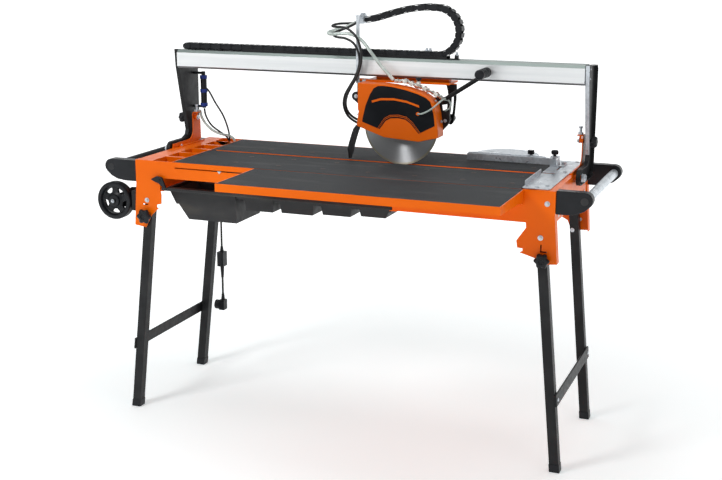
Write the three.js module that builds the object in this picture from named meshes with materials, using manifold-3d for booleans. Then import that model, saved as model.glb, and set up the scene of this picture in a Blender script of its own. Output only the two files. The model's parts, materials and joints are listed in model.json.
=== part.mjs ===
// Bridge-type wet tile saw on folding legs, in millimetres, +Z up.
// Design frame: X = 0 midway between the end plates, Y = 0 on the front apron, Z = 0 on the floor.
// The exported group is moved so that its origin is under the middle of the saw's outline.
import * as THREE from 'three';
import { mergeVertices } from 'three/addons/utils/BufferGeometryUtils.js';
import Module from 'manifold-3d';

const wasm = await Module();
wasm.setup();

// ---------------------------------------------------------------- driving dimensions
const GAP = 0.3;                    // clearance between touching pieces
const HALF_LENGTH = 703;            // frame, middle to end plate
const DEPTH = 510;                  // frame, front apron to rear apron
const TABLE_TOP = 878;              // top of the rubber mats
const MAT = 6;                      // mat thickness
const SHEET = 3;                    // frame sheet thickness
const SLIT_Y = 261.9;               // cutting line
const SLIT_HALF = 9;
const MAT_LEFT = -563.7;
const MAT_RIGHT = 597;
const BLADE_RADIUS = 125;
const BLADE_X = 133.6;
const BLADE_Z = 999.6;
const RAIL_FRONT = 308;
const RAIL_BACK = 384;
const RAIL_BOTTOM = 1150;
const RAIL_TOP = 1212;
const TILT_Z = 873;                 // height of the tilt pivots
const HINGE_X = -32;                // plunge hinge of the head
const HINGE_Z = 1086;
const LEG = {
  left: { foot: -747, lean: 0.1144, pivot: 744.6, bar: 518 },
  right: { foot: 731.3, lean: -0.0959, pivot: 736.5, bar: 508 },
};
const LEG_TUBE = 30;
const WHEEL_RADIUS = 64;
const AXLE = { x: -794, z: 731 };
const GRIP = { left: { x: 797, z: 847.5 }, right: { x: 787, z: 853.5 }, radius: 14 };
const CHAIN = { y0: 326, y1: 362, thickness: 22, radius: 75, loopX: 225 };
const OUTLINE_CENTRE = { x: -23.5, y: 126 };

// ---------------------------------------------------------------- materials
const paint = (color, roughness, metalness) => new THREE.MeshStandardMaterial({ color, roughness, metalness });
const ORANGE = paint(0xec5b10, 0.4, 0.1);
const BLACK_PAINT = paint(0x26282b, 0.5, 0.2);
const BLACK_PLASTIC = paint(0x1b1c1f, 0.45, 0);
const RUBBER = paint(0x3a3e43, 0.85, 0);
const TRAY_PLASTIC = paint(0x3b3c3e, 0.6, 0);
const ZINC = paint(0xaeb6bd, 0.4, 0.8);
const ALUMINIUM = paint(0xe6eaed, 0.35, 0.6);
const STEEL = paint(0xc9cbcd, 0.25, 0.95);
const BRASS = paint(0xb9a878, 0.35, 0.9);
const CLEAR = paint(0xc9d2cc, 0.2, 0);
const BLUE = paint(0x2c3f9c, 0.5, 0);

// ---------------------------------------------------------------- solids
function solid(geometry) {
  const bare = geometry.clone();
  bare.deleteAttribute('normal');
  bare.deleteAttribute('uv');
  const merged = mergeVertices(bare, 1e-4);
  const kept = [];
  const index = merged.index.array;
  for (let i = 0; i < index.length; i += 3) {
    const [a, b, c] = [index[i], index[i + 1], index[i + 2]];
    if (a !== b && b !== c && c !== a) kept.push(a, b, c);
  }
  const vertProperties = new Float32Array(merged.attributes.position.array);
  return new wasm.Manifold(new wasm.Mesh({ numProp: 3, vertProperties, triVerts: new Uint32Array(kept) }));
}

function geometryOf(body) {
  const mesh = body.getMesh();
  const geometry = new THREE.BufferGeometry();
  geometry.setAttribute('position', new THREE.BufferAttribute(new Float32Array(mesh.vertProperties), 3));
  geometry.setIndex(new THREE.BufferAttribute(new Uint32Array(mesh.triVerts), 1));
  geometry.computeVertexNormals();
  return geometry;
}

const union = (...bodies) => bodies.reduce((sum, body) => sum.add(body));
const cut = (body, ...tools) => tools.reduce((rest, tool) => rest.subtract(tool), body);

function box(x0, x1, y0, y1, z0, z1) {
  const geometry = new THREE.BoxGeometry(x1 - x0, y1 - y0, z1 - z0);
  geometry.translate((x0 + x1) / 2, (y0 + y1) / 2, (z0 + z1) / 2);
  return solid(geometry);
}

function shapeOf(points) {
  return new THREE.Shape(points.map(([u, v]) => new THREE.Vector2(u, v)));
}

// A plate whose outline lies in XZ, from y0 to y1.
function plateXZ(points, y0, y1) {
  const geometry = new THREE.ExtrudeGeometry(shapeOf(points), { depth: y1 - y0, bevelEnabled: false });
  geometry.rotateX(Math.PI / 2);
  geometry.translate(0, y1, 0);
  return solid(geometry);
}

// A plate whose outline lies in YZ, from x0 to x1.
const YZ_TO_X = new THREE.Matrix4().makeBasis(
  new THREE.Vector3(0, 1, 0), new THREE.Vector3(0, 0, 1), new THREE.Vector3(1, 0, 0));
function plateYZ(points, x0, x1) {
  const geometry = new THREE.ExtrudeGeometry(shapeOf(points), { depth: x1 - x0, bevelEnabled: false });
  geometry.applyMatrix4(YZ_TO_X);
  geometry.translate(x0, 0, 0);
  return solid(geometry);
}

function plateXY(points, z0, z1) {
  const geometry = new THREE.ExtrudeGeometry(shapeOf(points), { depth: z1 - z0, bevelEnabled: false });
  geometry.translate(0, 0, z0);
  return solid(geometry);
}

// A round bar between two points; r1 differs from r0 on a taper.
function bar(from, to, r0, { r1 = r0, sides = 20 } = {}) {
  const a = new THREE.Vector3(...from);
  const b = new THREE.Vector3(...to);
  const geometry = new THREE.CylinderGeometry(r1, r0, a.distanceTo(b), sides);
  const along = b.clone().sub(a).normalize();
  geometry.applyQuaternion(new THREE.Quaternion().setFromUnitVectors(new THREE.Vector3(0, 1, 0), along));
  geometry.translate(...a.add(b).multiplyScalar(0.5).toArray());
  return solid(geometry);
}

const barX = (x0, x1, y, z, r, sides = 20) => bar([x0, y, z], [x1, y, z], r, { sides });
const barY = (y0, y1, x, z, r, sides = 20) => bar([x, y0, z], [x, y1, z], r, { sides });
const barZ = (z0, z1, x, y, r, sides = 20) => bar([x, y, z0], [x, y, z1], r, { sides });

// A hose or cable along a smooth route.
function hose(points, radius, { sides = 8, steps = 40 } = {}) {
  const ring = Array.from({ length: sides }, (_, i) => {
    const a = (2 * Math.PI * i) / sides;
    return [radius * Math.cos(a), radius * Math.sin(a)];
  });
  const route = new THREE.CatmullRomCurve3(points.map((p) => new THREE.Vector3(...p)), false, 'centripetal');
  return solid(new THREE.ExtrudeGeometry(shapeOf(ring), { steps, bevelEnabled: false, extrudePath: route }));
}

// A polygon moved inwards by d along every edge; its points run anticlockwise.
function inset(points, d) {
  const count = points.length;
  const lines = points.map(([u, v], i) => {
    const [s, t] = points[(i + 1) % count];
    const length = Math.hypot(s - u, t - v);
    const normal = [-(t - v) / length, (s - u) / length];
    return { at: [u + normal[0] * d, v + normal[1] * d], along: [(s - u) / length, (t - v) / length] };
  });
  return lines.map((line, i) => {
    const before = lines[(i + count - 1) % count];
    const cross = before.along[0] * line.along[1] - before.along[1] * line.along[0];
    const du = line.at[0] - before.at[0];
    const dv = line.at[1] - before.at[1];
    const k = (du * line.along[1] - dv * line.along[0]) / cross;
    return [before.at[0] + before.along[0] * k, before.at[1] + before.along[1] * k];
  });
}

// An open line of points thickened to one side by t, as a closed outline.
function ribbon(points, t) {
  const side = points.map(([u, v], i) => {
    const [a, b] = points[Math.max(i - 1, 0)];
    const [c, d] = points[Math.min(i + 1, points.length - 1)];
    const length = Math.hypot(c - a, d - b);
    return [u - ((d - b) / length) * t, v + ((c - a) / length) * t];
  });
  return [...points, ...side.reverse()];
}

const arc = (u, v, r, from, to, steps) => Array.from({ length: steps + 1 }, (_, i) => {
  const a = THREE.MathUtils.degToRad(from + ((to - from) * i) / steps);
  return [u + r * Math.cos(a), v + r * Math.sin(a)];
});
const mirrorX = (points) => points.map(([u, v]) => [-u, v]).reverse();

// A block that narrows downwards: open-topped tray pockets are the difference of two.
function hopper({ x0, x1, y0, y1, top, bottom, slopeLeft, slopeRight, slopeY }) {
  const corners = [
    [x0, y0, top], [x1, y0, top], [x1, y1, top], [x0, y1, top],
    [x0 + slopeLeft, y0 + slopeY, bottom], [x1 - slopeRight, y0 + slopeY, bottom],
    [x1 - slopeRight, y1 - slopeY, bottom], [x0 + slopeLeft, y1 - slopeY, bottom],
  ];
  const quads = [[0, 1, 2, 3], [7, 6, 5, 4], [4, 5, 1, 0], [5, 6, 2, 1], [6, 7, 3, 2], [7, 4, 0, 3]];
  const geometry = new THREE.BufferGeometry();
  geometry.setAttribute('position', new THREE.Float32BufferAttribute(corners.flat(), 3));
  geometry.setIndex(quads.flatMap(([a, b, c, d]) => [a, b, c, a, c, d]));
  return solid(geometry);
}

// ---------------------------------------------------------------- scene graph
const saw = new THREE.Group();
const named = (name, body, material) => {
  const mesh = new THREE.Mesh(geometryOf(body), material);
  mesh.name = name;
  saw.add(mesh);
  return mesh;
};

// ---------------------------------------------------------------- frame
const NOTCH = { x0: -611, x1: 200, top: 822 };   // front opening that the tray slides through
const APRON_BOTTOM = 780;

function frontApron() {
  const H = HALF_LENGTH;
  const leftBracket = [[-H, TABLE_TOP], [-H, 800], [-713.5, 656], [-672, 651], [-649, 693], [-621, 720],
    [-628, 721], [-628, 731], [-610.8, 735], [-609.6, 765], [-613, 781], [NOTCH.x0, NOTCH.top]];
  const rightBracket = [[NOTCH.x1, NOTCH.top], [NOTCH.x1, APRON_BOTTOM], [617, 779], [618.3, 763.5],
    [590.3, 722.6], [593.7, 700.7], [610, 700], [610, 692], [600.5, 687], [651, 672.7], [686, 657.5],
    [714.5, 660], [H, 800], [H, TABLE_TOP]];
  const plate = plateXZ([...leftBracket, ...rightBracket], 0, SHEET);
  const leftFlange = plateXZ([[-H, TABLE_TOP], [-H, 800], [-713.5, 656], [-711, 656], [-H + 2.5, 800],
    [-H + 2.5, TABLE_TOP]], 0, 28);
  const rightFlange = plateXZ([[H - 2.5, TABLE_TOP], [H - 2.5, 800], [712, 660], [714.5, 660], [H, 800],
    [H, TABLE_TOP]], 0, 28);
  const hookSlot = box(-556, 600, -1, SHEET + 1, 857, 861);
  const legSlots = [
    box(663, 667, -1, 4, 694, 716), box(663, 683, -1, 4, 692, 696.5),
    box(-681, -660, -1, 4, 727, 731.5),
  ];
  return cut(union(plate, leftFlange, rightFlange), hookSlot, ...legSlots);
}

function rearApron() {
  const H = HALF_LENGTH;
  const outline = [[-H, TABLE_TOP], [-H, 800], [-713, 656], [-652, 650], [-640, 680], [-600, 700], [-600, 780],
    [600, 780], [600, 700], [638, 679], [650, 649], [713, 652], [H, 800], [H, TABLE_TOP]];
  const flange = (s) => plateXZ(s > 0
    ? [[H - 2.5, TABLE_TOP], [H - 2.5, 800], [710.5, 652], [713, 652], [H, 800], [H, TABLE_TOP]]
    : [[-H, TABLE_TOP], [-H, 800], [-713, 656], [-710.5, 656], [-H + 2.5, 800], [-H + 2.5, TABLE_TOP]],
  DEPTH - 28, DEPTH);
  return union(plateXZ(outline, DEPTH - SHEET, DEPTH), flange(-1), flange(1));
}

const INSIDE = { y0: SHEET + GAP, y1: DEPTH - SHEET - GAP };
const END_X = HALF_LENGTH - 2.5 - GAP;            // outer face of the end plates
const TRAY_RIM = { z0: 781, z1: 785 };
const PIVOT_STUD = { radius: 8, reach: 736 };

function endPlate(side) {
  const outer = side * END_X;
  const inner = side * (END_X - SHEET);
  const [x0, x1] = [Math.min(outer, inner), Math.max(outer, inner)];
  const plate = box(x0, x1, INSIDE.y0, INSIDE.y1, 780, 875);
  const stud = barX(Math.min(inner, side * PIVOT_STUD.reach), Math.max(inner, side * PIVOT_STUD.reach),
    SLIT_Y, TILT_Z, PIVOT_STUD.radius);
  return union(plate, stud);
}

// Open rack left of the mats: end plate, top beam and five short ribs, with the tray's left runner.
function leftEndRack() {
  const ribs = [95, 180, 268, 354, 432].map((y) => union(
    box(-642, MAT_LEFT - 2, y - 7, y + 7, 875, TABLE_TOP),
    box(-642, MAT_LEFT - 2, y - 7, y - 4.5, 845, 876),
  ));
  return union(
    endPlate(-1),
    box(-END_X, -640, INSIDE.y0, INSIDE.y1, 875, TABLE_TOP),
    box(-643, -640, INSIDE.y0, INSIDE.y1, 848, 876),
    box(MAT_LEFT - 3.3, MAT_LEFT - GAP, INSIDE.y0, INSIDE.y1, 845, TABLE_TOP),
    ...ribs,
    box(-624, -621, INSIDE.y0, INSIDE.y1, TRAY_RIM.z0 - 5, 852),
    box(-622, -603, INSIDE.y0, INSIDE.y1, TRAY_RIM.z0 - 3.5, TRAY_RIM.z0 - 0.5),
  );
}

function rightEndPlate() {
  return union(endPlate(1), box(645, END_X, INSIDE.y0, INSIDE.y1, 875, TABLE_TOP));
}

function tableDeck() {
  const [z0, z1] = [TABLE_TOP - MAT - GAP - SHEET, TABLE_TOP - MAT - GAP];
  const sheet = box(MAT_LEFT, END_X - SHEET - GAP, INSIDE.y0, INSIDE.y1, z0, z1);
  const lips = [-1, 1].map((s) => {
    const [near, far] = [SLIT_Y + s * (SLIT_HALF - 1.8), SLIT_Y + s * (SLIT_HALF - GAP)];
    return box(-545, 598, Math.min(near, far), Math.max(near, far), z0, TABLE_TOP - 0.6);
  });
  const slit = box(-545, 640, SLIT_Y - SLIT_HALF + 1.8, SLIT_Y + SLIT_HALF - 1.8, z0 - 1, z1 + 1);
  const bladeNotch = box(200, 220, SLIT_Y - SLIT_HALF, SLIT_Y + SLIT_HALF, 840, z0 + 2);
  const runner = union(
    cut(box(210, 213, INSIDE.y0, INSIDE.y1, TRAY_RIM.z0 - 3.5, z0 + 1), bladeNotch),
    box(190, 212, INSIDE.y0, INSIDE.y1, TRAY_RIM.z0 - 3.5, TRAY_RIM.z0 - 0.5),
  );
  return union(cut(sheet, slit), ...lips, runner);
}

// Zinc-plated plate on the right with a guide edge, notched for the blade's path.
function rulerPlate() {
  const [z0, z1] = [TABLE_TOP + GAP, TABLE_TOP + GAP + 2.3];
  const outline = [[599, 16], [604, 10], [676, 10], [682, 16], [682, 492], [674, 500], [607, 500], [599, 492]];
  return cut(
    union(plateXY(outline, z0, z1), box(599, 601.3, 45, 250, z0, 895)),
    box(590, 642, SLIT_Y - SLIT_HALF, SLIT_Y + SLIT_HALF, z0 - 1, 900),
    box(630, 636, 320, 470, z0 - 1, z1 + 1),
  );
}

named('front_apron', frontApron(), ORANGE);
named('rear_apron', rearApron(), ORANGE);
named('left_end_rack', leftEndRack(), ORANGE);
named('right_end_plate', rightEndPlate(), ORANGE);
named('table_deck', tableDeck(), ORANGE);
const matZ = [TABLE_TOP - MAT, TABLE_TOP];
named('front_mat', box(MAT_LEFT, MAT_RIGHT, INSIDE.y0, SLIT_Y - SLIT_HALF, ...matZ), RUBBER);
named('rear_mat', box(MAT_LEFT, MAT_RIGHT, SLIT_Y + SLIT_HALF, INSIDE.y1, ...matZ), RUBBER);
named('ruler_plate', rulerPlate(), ZINC);

// Fins that stand on the end beams and lock the tilting uprights.
function fin(side) {
  const foot = TABLE_TOP + GAP;
  const outline = [[240, foot], [440, foot], [438, 950], [414, 986], [388, 986], [384, 980], [384, 925],
    ...arc(352, 925, 32, 0, -90, 5).slice(1, -1), [344, 893], [240, 892]].reverse();
  const outer = side * END_X;
  const x = (inward) => outer - side * inward;
  const span = (a, b) => [Math.min(x(a), x(b)), Math.max(x(a), x(b))];
  const studHole = barX(...span(-2, 20), SLIT_Y, TILT_Z, PIVOT_STUD.radius + 0.7);
  return union(
    cut(plateYZ(outline, ...span(0, SHEET)), studHole),
    box(...span(SHEET - 0.5, 17), 275, 438, foot, foot + SHEET),
    box(...span(SHEET - 0.5, 20), 386, 412, 983, 986),
    barZ(970, 1012, x(11), 398, 4, 10),
    barZ(986, 993, x(11), 398, 8, 6),
    barX(...span(-1, 14), 399, 966, 7, 12),
  );
}
named('left_fin', fin(-1), ORANGE);
named('right_fin', fin(1), ORANGE);

// ---------------------------------------------------------------- lifting handles
const EAR_THICKNESS = 32;
const earOutline = ({ x, z }) => [[HALF_LENGTH + GAP + 0.8, z - 43.5], [x - 52, z - 43.5], [x - 22, z - 39.5],
  [x, z - 29.5], ...arc(x, z + 2.5, 24, -45, 90, 6), [x - 52, z + 26.5], [HALF_LENGTH + GAP + 0.8, z + 26.5]];
const FRONT_EAR_Y = 1;
const REAR_EAR_Y = DEPTH - 1 - EAR_THICKNESS;
const gripTube = (x, z, y0, y1) => barY(y0, y1, x, z, GRIP.radius, 20);

function leftHandle() {
  const { x, z } = GRIP.left;
  const ear = (y) => plateXZ(mirrorX(earOutline(GRIP.left)), y, y + EAR_THICKNESS);
  return union(ear(FRONT_EAR_Y), ear(REAR_EAR_Y), gripTube(-x, z, FRONT_EAR_Y + 10, REAR_EAR_Y + 10));
}
named('left_handle', leftHandle(), BLACK_PLASTIC);
const rightEar = earOutline(GRIP.right);
named('right_front_ear', plateXZ(rightEar, FRONT_EAR_Y, FRONT_EAR_Y + EAR_THICKNESS), BLACK_PLASTIC);
named('right_rear_ear', plateXZ(rightEar, REAR_EAR_Y, REAR_EAR_Y + EAR_THICKNESS), BLACK_PLASTIC);
named('right_grip_tube',
  gripTube(GRIP.right.x, GRIP.right.z, FRONT_EAR_Y + EAR_THICKNESS + GAP, REAR_EAR_Y - GAP), ZINC);

// ---------------------------------------------------------------- transport wheels
const WHEEL = { width: 34, frontY: -1, rearY: DEPTH + 1 - 34, bore: 8.5 };

function wheelCarrier() {
  const arm = [[-716, 777], [-716, 695], [-745, 695], [-800, 716], ...arc(AXLE.x, AXLE.z, 15, 240, 120, 4),
    [-800, 746], [-745, 775]].reverse();
  const foot = [[-726, 706], [-710.6, 706], [-706, 770], [-726, 770]];
  const frontPlate = WHEEL.frontY + WHEEL.width + 2;
  const rearPlate = WHEEL.rearY - 2 - 6;
  return union(
    barY(WHEEL.frontY - 4, WHEEL.rearY + WHEEL.width + 4, AXLE.x, AXLE.z, 8),
    plateXZ(arm, frontPlate, frontPlate + 6),
    plateXZ(arm, rearPlate, rearPlate + 6),
    plateXZ(foot, 4, frontPlate + 6),
    plateXZ(foot, rearPlate, DEPTH - 4),
  );
}

function wheel() {
  const w = WHEEL.width;
  const profile = [[WHEEL.bore, 0], [20, 0], [24, 7], [50, 7], [54, 1], [61, 1], [WHEEL_RADIUS, 5],
    [WHEEL_RADIUS, w - 5], [61, w - 1], [54, w - 1], [50, w - 7], [24, w - 7], [20, w], [WHEEL.bore, w],
    [WHEEL.bore, 0]].map(([r, y]) => new THREE.Vector2(r, y));
  return solid(new THREE.LatheGeometry(profile, 32));
}
named('wheel_carrier', wheelCarrier(), BLACK_PAINT);
for (const [name, y] of [['front_wheel', WHEEL.frontY], ['rear_wheel', WHEEL.rearY]]) {
  named(name, wheel(), BLACK_PLASTIC).position.set(AXLE.x, y, AXLE.z);
}

// ---------------------------------------------------------------- folding legs
const LEG_FRONT_Y = 9;
const LEG_REAR_Y = DEPTH - 9 - LEG_TUBE;
const CROSSBAR = { height: 38, thickness: 6 };
const legFrame = ({ foot, lean, pivot }) => {
  const tilt = Math.atan(lean);
  return { tilt, x: foot + lean * pivot, z: pivot, length: pivot / Math.cos(tilt) };
};

// A leg is modelled hanging from its pivot: local Z runs up the tube.
function leg(spec) {
  const { length } = legFrame(spec);
  const half = LEG_TUBE / 2;
  const tube = box(-half, half, 0, LEG_TUBE, -length - 10, 26);
  const bore = box(-half + 2, half - 2, 2, LEG_TUBE - 2, -length + 12, 27);
  return cut(tube, bore);
}

function crossbar(side, along) {
  const x = side * (LEG_TUBE / 2 + GAP);
  const [x0, x1] = [Math.min(x, x + side * CROSSBAR.thickness), Math.max(x, x + side * CROSSBAR.thickness)];
  const half = CROSSBAR.height / 2;
  return box(x0, x1, LEG_FRONT_Y - 3, LEG_REAR_Y + LEG_TUBE + 3, -along - half, -along + half);
}

// Turns a body from the leg's own frame into the design frame.
function hang(body, spec) {
  const { tilt, x, z } = legFrame(spec);
  return body.rotate([0, THREE.MathUtils.radToDeg(tilt), 0]).translate([x, 0, z]);
}
const belowFloor = box(-900, 900, -50, 600, -60, 0);

for (const [sideName, side] of [['left', -1], ['right', 1]]) {
  const spec = LEG[sideName];
  for (const [endName, y] of [['front', LEG_FRONT_Y], ['rear', LEG_REAR_Y]]) {
    const standing = cut(hang(leg(spec), spec).translate([0, y, 0]), belowFloor);
    named(`${sideName}_${endName}_leg`, standing, BLACK_PAINT);
  }
  named(`${sideName}_crossbar`, hang(crossbar(side, spec.bar), spec), BLACK_PAINT);
}

// Star knobs: lobed head on a short stem, local Z along the screw.
function starKnob(radius, depth, stem, lobes = 6) {
  const count = lobes * 6;
  const rim = Array.from({ length: count }, (_, i) => {
    const a = (2 * Math.PI * i) / count;
    const r = radius * (0.9 + 0.1 * Math.cos(lobes * a));
    return [r * Math.cos(a), r * Math.sin(a)];
  });
  return union(plateXY(rim, stem, stem + depth), barZ(0, stem + 2, 0, 0, radius * 0.42, 12));
}
const KNOB_FACING = {
  front: new THREE.Euler(Math.PI / 2, 0, 0), left: new THREE.Euler(0, -Math.PI / 2, 0),
  right: new THREE.Euler(0, Math.PI / 2, 0), up: new THREE.Euler(0, 0, 0),
};
function placeKnob(name, body, position, facing) {
  const knob = named(name, body, BLACK_PLASTIC);
  knob.position.set(...position);
  knob.rotation.copy(KNOB_FACING[facing]);
}
placeKnob('left_leg_knob', starKnob(26, 17, 7), [-669, -GAP, 691], 'front');
placeKnob('right_leg_knob', starKnob(24, 17, 7), [672, -GAP, 671], 'front');

// ---------------------------------------------------------------- water tray
const TRAY = { x0: -608, x1: 197, y0: 44, y1: 440, wall: 3 };
const pockets = [
  { x0: -601, x1: -360, top: 782, bottom: 770, slopeLeft: 0, slopeRight: 0, y1: 232, slopeY: 0 },
  { x0: -601, x1: -360, top: 771, bottom: 729, slopeLeft: 20, slopeRight: 0, y1: 232, slopeY: 3 },
  { x0: -572, x1: -360, top: 730, bottom: 679, slopeLeft: 35, slopeRight: 0, y0: 47, y1: 229, slopeY: 4 },
  { x0: -328, x1: -222, top: 782, bottom: 727, slopeLeft: 5, slopeRight: 6, y1: 430 },
  { x0: -204, x1: -78, top: 782, bottom: 729, slopeLeft: 8, slopeRight: 10, y1: 430 },
  { x0: -60, x1: 52, top: 782, bottom: 735, slopeLeft: 8, slopeRight: 10, y1: 430 },
  { x0: 70, x1: 182, top: 782, bottom: 741, slopeLeft: 8, slopeRight: 22, y1: 430 },
];

function waterTray() {
  const pocket = (p, shrink, lift) => hopper({
    slopeY: 6, ...p,
    x0: p.x0 + shrink, x1: p.x1 - shrink, y0: (p.y0 ?? TRAY.y0) + shrink, y1: p.y1 - shrink,
    top: p.top + (shrink ? 5 : 0), bottom: p.bottom + lift,
  });
  const body = { x0: -590, x1: 184, top: 784, bottom: 762, slopeLeft: 6, slopeRight: 6, y1: 432 };
  const outer = union(
    box(TRAY.x0, TRAY.x1, TRAY.y0 - 6, TRAY.y1, TRAY_RIM.z0, TRAY_RIM.z1),
    box(TRAY.x0, TRAY.x1, 5, TRAY.y0, TRAY_RIM.z0, TRAY_RIM.z1),
    box(TRAY.x0, TRAY.x1, 1, 5, TRAY_RIM.z0, TRAY_RIM.z1 + 5),
    pocket(body, 0, 0), ...pockets.map((p) => pocket(p, 0, 0)),
  );
  return cut(outer, pocket(body, TRAY.wall, TRAY.wall), ...pockets.map((p) => pocket(p, TRAY.wall, TRAY.wall)));
}
named('water_tray', waterTray(), TRAY_PLASTIC);
named('water_pump', union(
  box(-500, -410, 80, 140, 682 + GAP, 725), barZ(725 - 1, 752, -455, 110, 18, 16), barY(140 - 1, 158, -455, 705, 7, 12),
), BLACK_PLASTIC);
named('tray_latch', union(
  barY(-7, -GAP, -606, 818, 8, 16),
  plateXZ([[-641, 818], [-618, 830], [-599, 827], [-592, 812], [-585, 794], [-594, 791.5], [-611, 806],
    [-628, 812]].reverse(), -13, -6),
), BLACK_PLASTIC);

// ---------------------------------------------------------------- extension table
const EXTENSION = { x0: -268, x1: 608, front: -263, lip: 853, gusset: 833 };

function extensionTable() {
  const { x0, x1, front } = EXTENSION;
  const [z0, z1] = [TABLE_TOP - MAT - GAP - 2.5, TABLE_TOP - MAT - GAP];
  const rear = -GAP;
  const gusset = [[front, EXTENSION.lip], [-150, 849], [-60, 845], [-22, 838], [-8, EXTENSION.gusset],
    [rear, EXTENSION.gusset], [rear, TABLE_TOP - 0.5], [front, TABLE_TOP - 0.5]];
  const hooks = [-180, 170, 520].map((x) => union(
    box(x, x + 40, rear - 1, 6, 858, 860.4),
    box(x, x + 40, 3.6, 6, 850, 860),
  ));
  return union(
    box(x0, x1, front, rear, z0, z1),
    box(x0, x1, front, front + 2.5, EXTENSION.lip, TABLE_TOP - 0.5),
    box(x0, x1, rear - 2.5, rear, EXTENSION.gusset, z1),
    plateYZ(gusset, x0, x0 + 2.5), plateYZ(gusset, x1 - 2.5, x1),
    ...hooks,
  );
}
named('extension_table', extensionTable(), ORANGE);
named('extension_mat', box(EXTENSION.x0 + 2.8, EXTENSION.x1 - 2.8, EXTENSION.front + 2.8, -0.6, ...matZ), RUBBER);

// ---------------------------------------------------------------- angle stop
const STOP = { x: 610, y: 394 };
const STOP_Z = TABLE_TOP + 6.3;

function stopBracket() {
  const [z0, y] = [TABLE_TOP + 2.9, STOP.y];
  return union(
    box(STOP.x - 12, STOP.x + 34, y - 14, y + 40, z0, z0 + 3),
    box(STOP.x + 12, STOP.x + 15, y - 14, y + 14, z0, 912),
    box(STOP.x - 12, STOP.x + 15, y - 14, y + 14, 909, 912),
    barZ(z0, 911, STOP.x, y, 5, 12),
    barZ(z0 + 1, z0 + 9, STOP.x + 24, y + 28, 7, 12),
  );
}

function stopBar() {
  const sector = [[-150, 0], [110, 0], ...arc(-20, 0, 105, 8, 172, 12)].map(([u, v]) => [u + 470, v + STOP.y + 6]);
  const knob = union(starKnob(11, 13, 3, 8)).translate([527, STOP.y + 22, 906.9]);
  const bar0 = cut(
    box(321, STOP.x + 6, STOP.y - 9, STOP.y + 7, STOP_Z, 905),
    box(320, STOP.x - 14, STOP.y - 6.5, STOP.y + 8, STOP_Z + 2.5, 902.5),
    barZ(STOP_Z - 1, 906, STOP.x, STOP.y, 5.6, 12),
  );
  return union(bar0, plateXY(sector, 904.5, 907), knob);
}
named('stop_bracket', stopBracket(), ZINC);
named('stop_bar', stopBar(), ZINC);
placeKnob('stop_knob', starKnob(12, 14, 5, 8), [STOP.x, STOP.y, 912 + GAP], 'up');

// ---------------------------------------------------------------- tilting bridge
const UPRIGHT = { web: 711, depth: 14 };
const uprightOutline = [[316, 1214], [321, 1153], [352, 1020], [376, 925], [368, 907], [345, 898],
  ...arc(SLIT_Y, TILT_Z, 25, 90, 270, 8), [440, 846], [457, 862], [457, 1113],
  [455, 1192], [444, 1204]];

function upright(side) {
  const x = (out) => side * (UPRIGHT.web + out);
  const span = (a, b) => [Math.min(x(a), x(b)), Math.max(x(a), x(b))];
  return cut(
    plateYZ(uprightOutline, ...span(0, UPRIGHT.depth)),
    plateYZ(inset(uprightOutline, 3), ...span(2.5, UPRIGHT.depth + 1)),
    barX(...span(-1, UPRIGHT.depth + 1), SLIT_Y, TILT_Z, PIVOT_STUD.radius + 0.7, 20),
  );
}

function rail() {
  const [f, b, lo, hi, w] = [RAIL_FRONT, RAIL_BACK, RAIL_BOTTOM, RAIL_TOP, 4];
  const middle = (f + b) / 2;
  const half = [
    [middle + 14, lo], [b - 7, lo], [b, lo + 7], [b, hi - 9], [b - 9, hi], [middle, hi],
    [middle, hi - w], [b - 11, hi - w], [b - w, hi - 11], [b - w, lo + 9], [b - 9, lo + w], [middle + 14, lo + w],
  ];
  const otherHalf = half.map(([u, v]) => [2 * middle - u, v]).reverse();
  return union(...[half, otherHalf].map((profile) => plateYZ(profile, -UPRIGHT.web + GAP, UPRIGHT.web - GAP)));
}
named('left_upright', upright(-1), BLACK_PAINT);
named('right_upright', upright(1), BLACK_PAINT);
named('rail', rail(), ALUMINIUM);
const LOCK = { y: 380, z: 967, x: UPRIGHT.web + 2.5 + GAP };
placeKnob('left_lock_knob', starKnob(19, 20, 12), [-LOCK.x, LOCK.y, LOCK.z], 'left');
placeKnob('right_lock_knob', starKnob(19, 20, 12), [LOCK.x, LOCK.y, LOCK.z], 'right');

// In-line plug connector, clamped to the left upright's web.
const CONNECTOR = { x: -672, y: 424 };
named('cable_connector', union(
  barZ(998, 1128, CONNECTOR.x, CONNECTOR.y, 7, 16),
  barZ(1004, 1112, CONNECTOR.x, CONNECTOR.y, 11, 16),
  ...[1004, 1053, 1102].map((z) => barZ(z, z + 12, CONNECTOR.x, CONNECTOR.y, 13, 16)),
  ...[999, 1118].map((z) => box(-UPRIGHT.web + GAP, CONNECTOR.x, CONNECTOR.y - 6, CONNECTOR.y + 6, z, z + 8)),
), BLUE);

// ---------------------------------------------------------------- energy chain
const CHAIN_LOW = RAIL_TOP + 1.5;
const CHAIN_END = { x: -20, z: 1330 };
named('chain_lower_run', box(-692, CHAIN.loopX, CHAIN.y0, CHAIN.y1, CHAIN_LOW, CHAIN_LOW + CHAIN.thickness),
  BLACK_PLASTIC);

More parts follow.
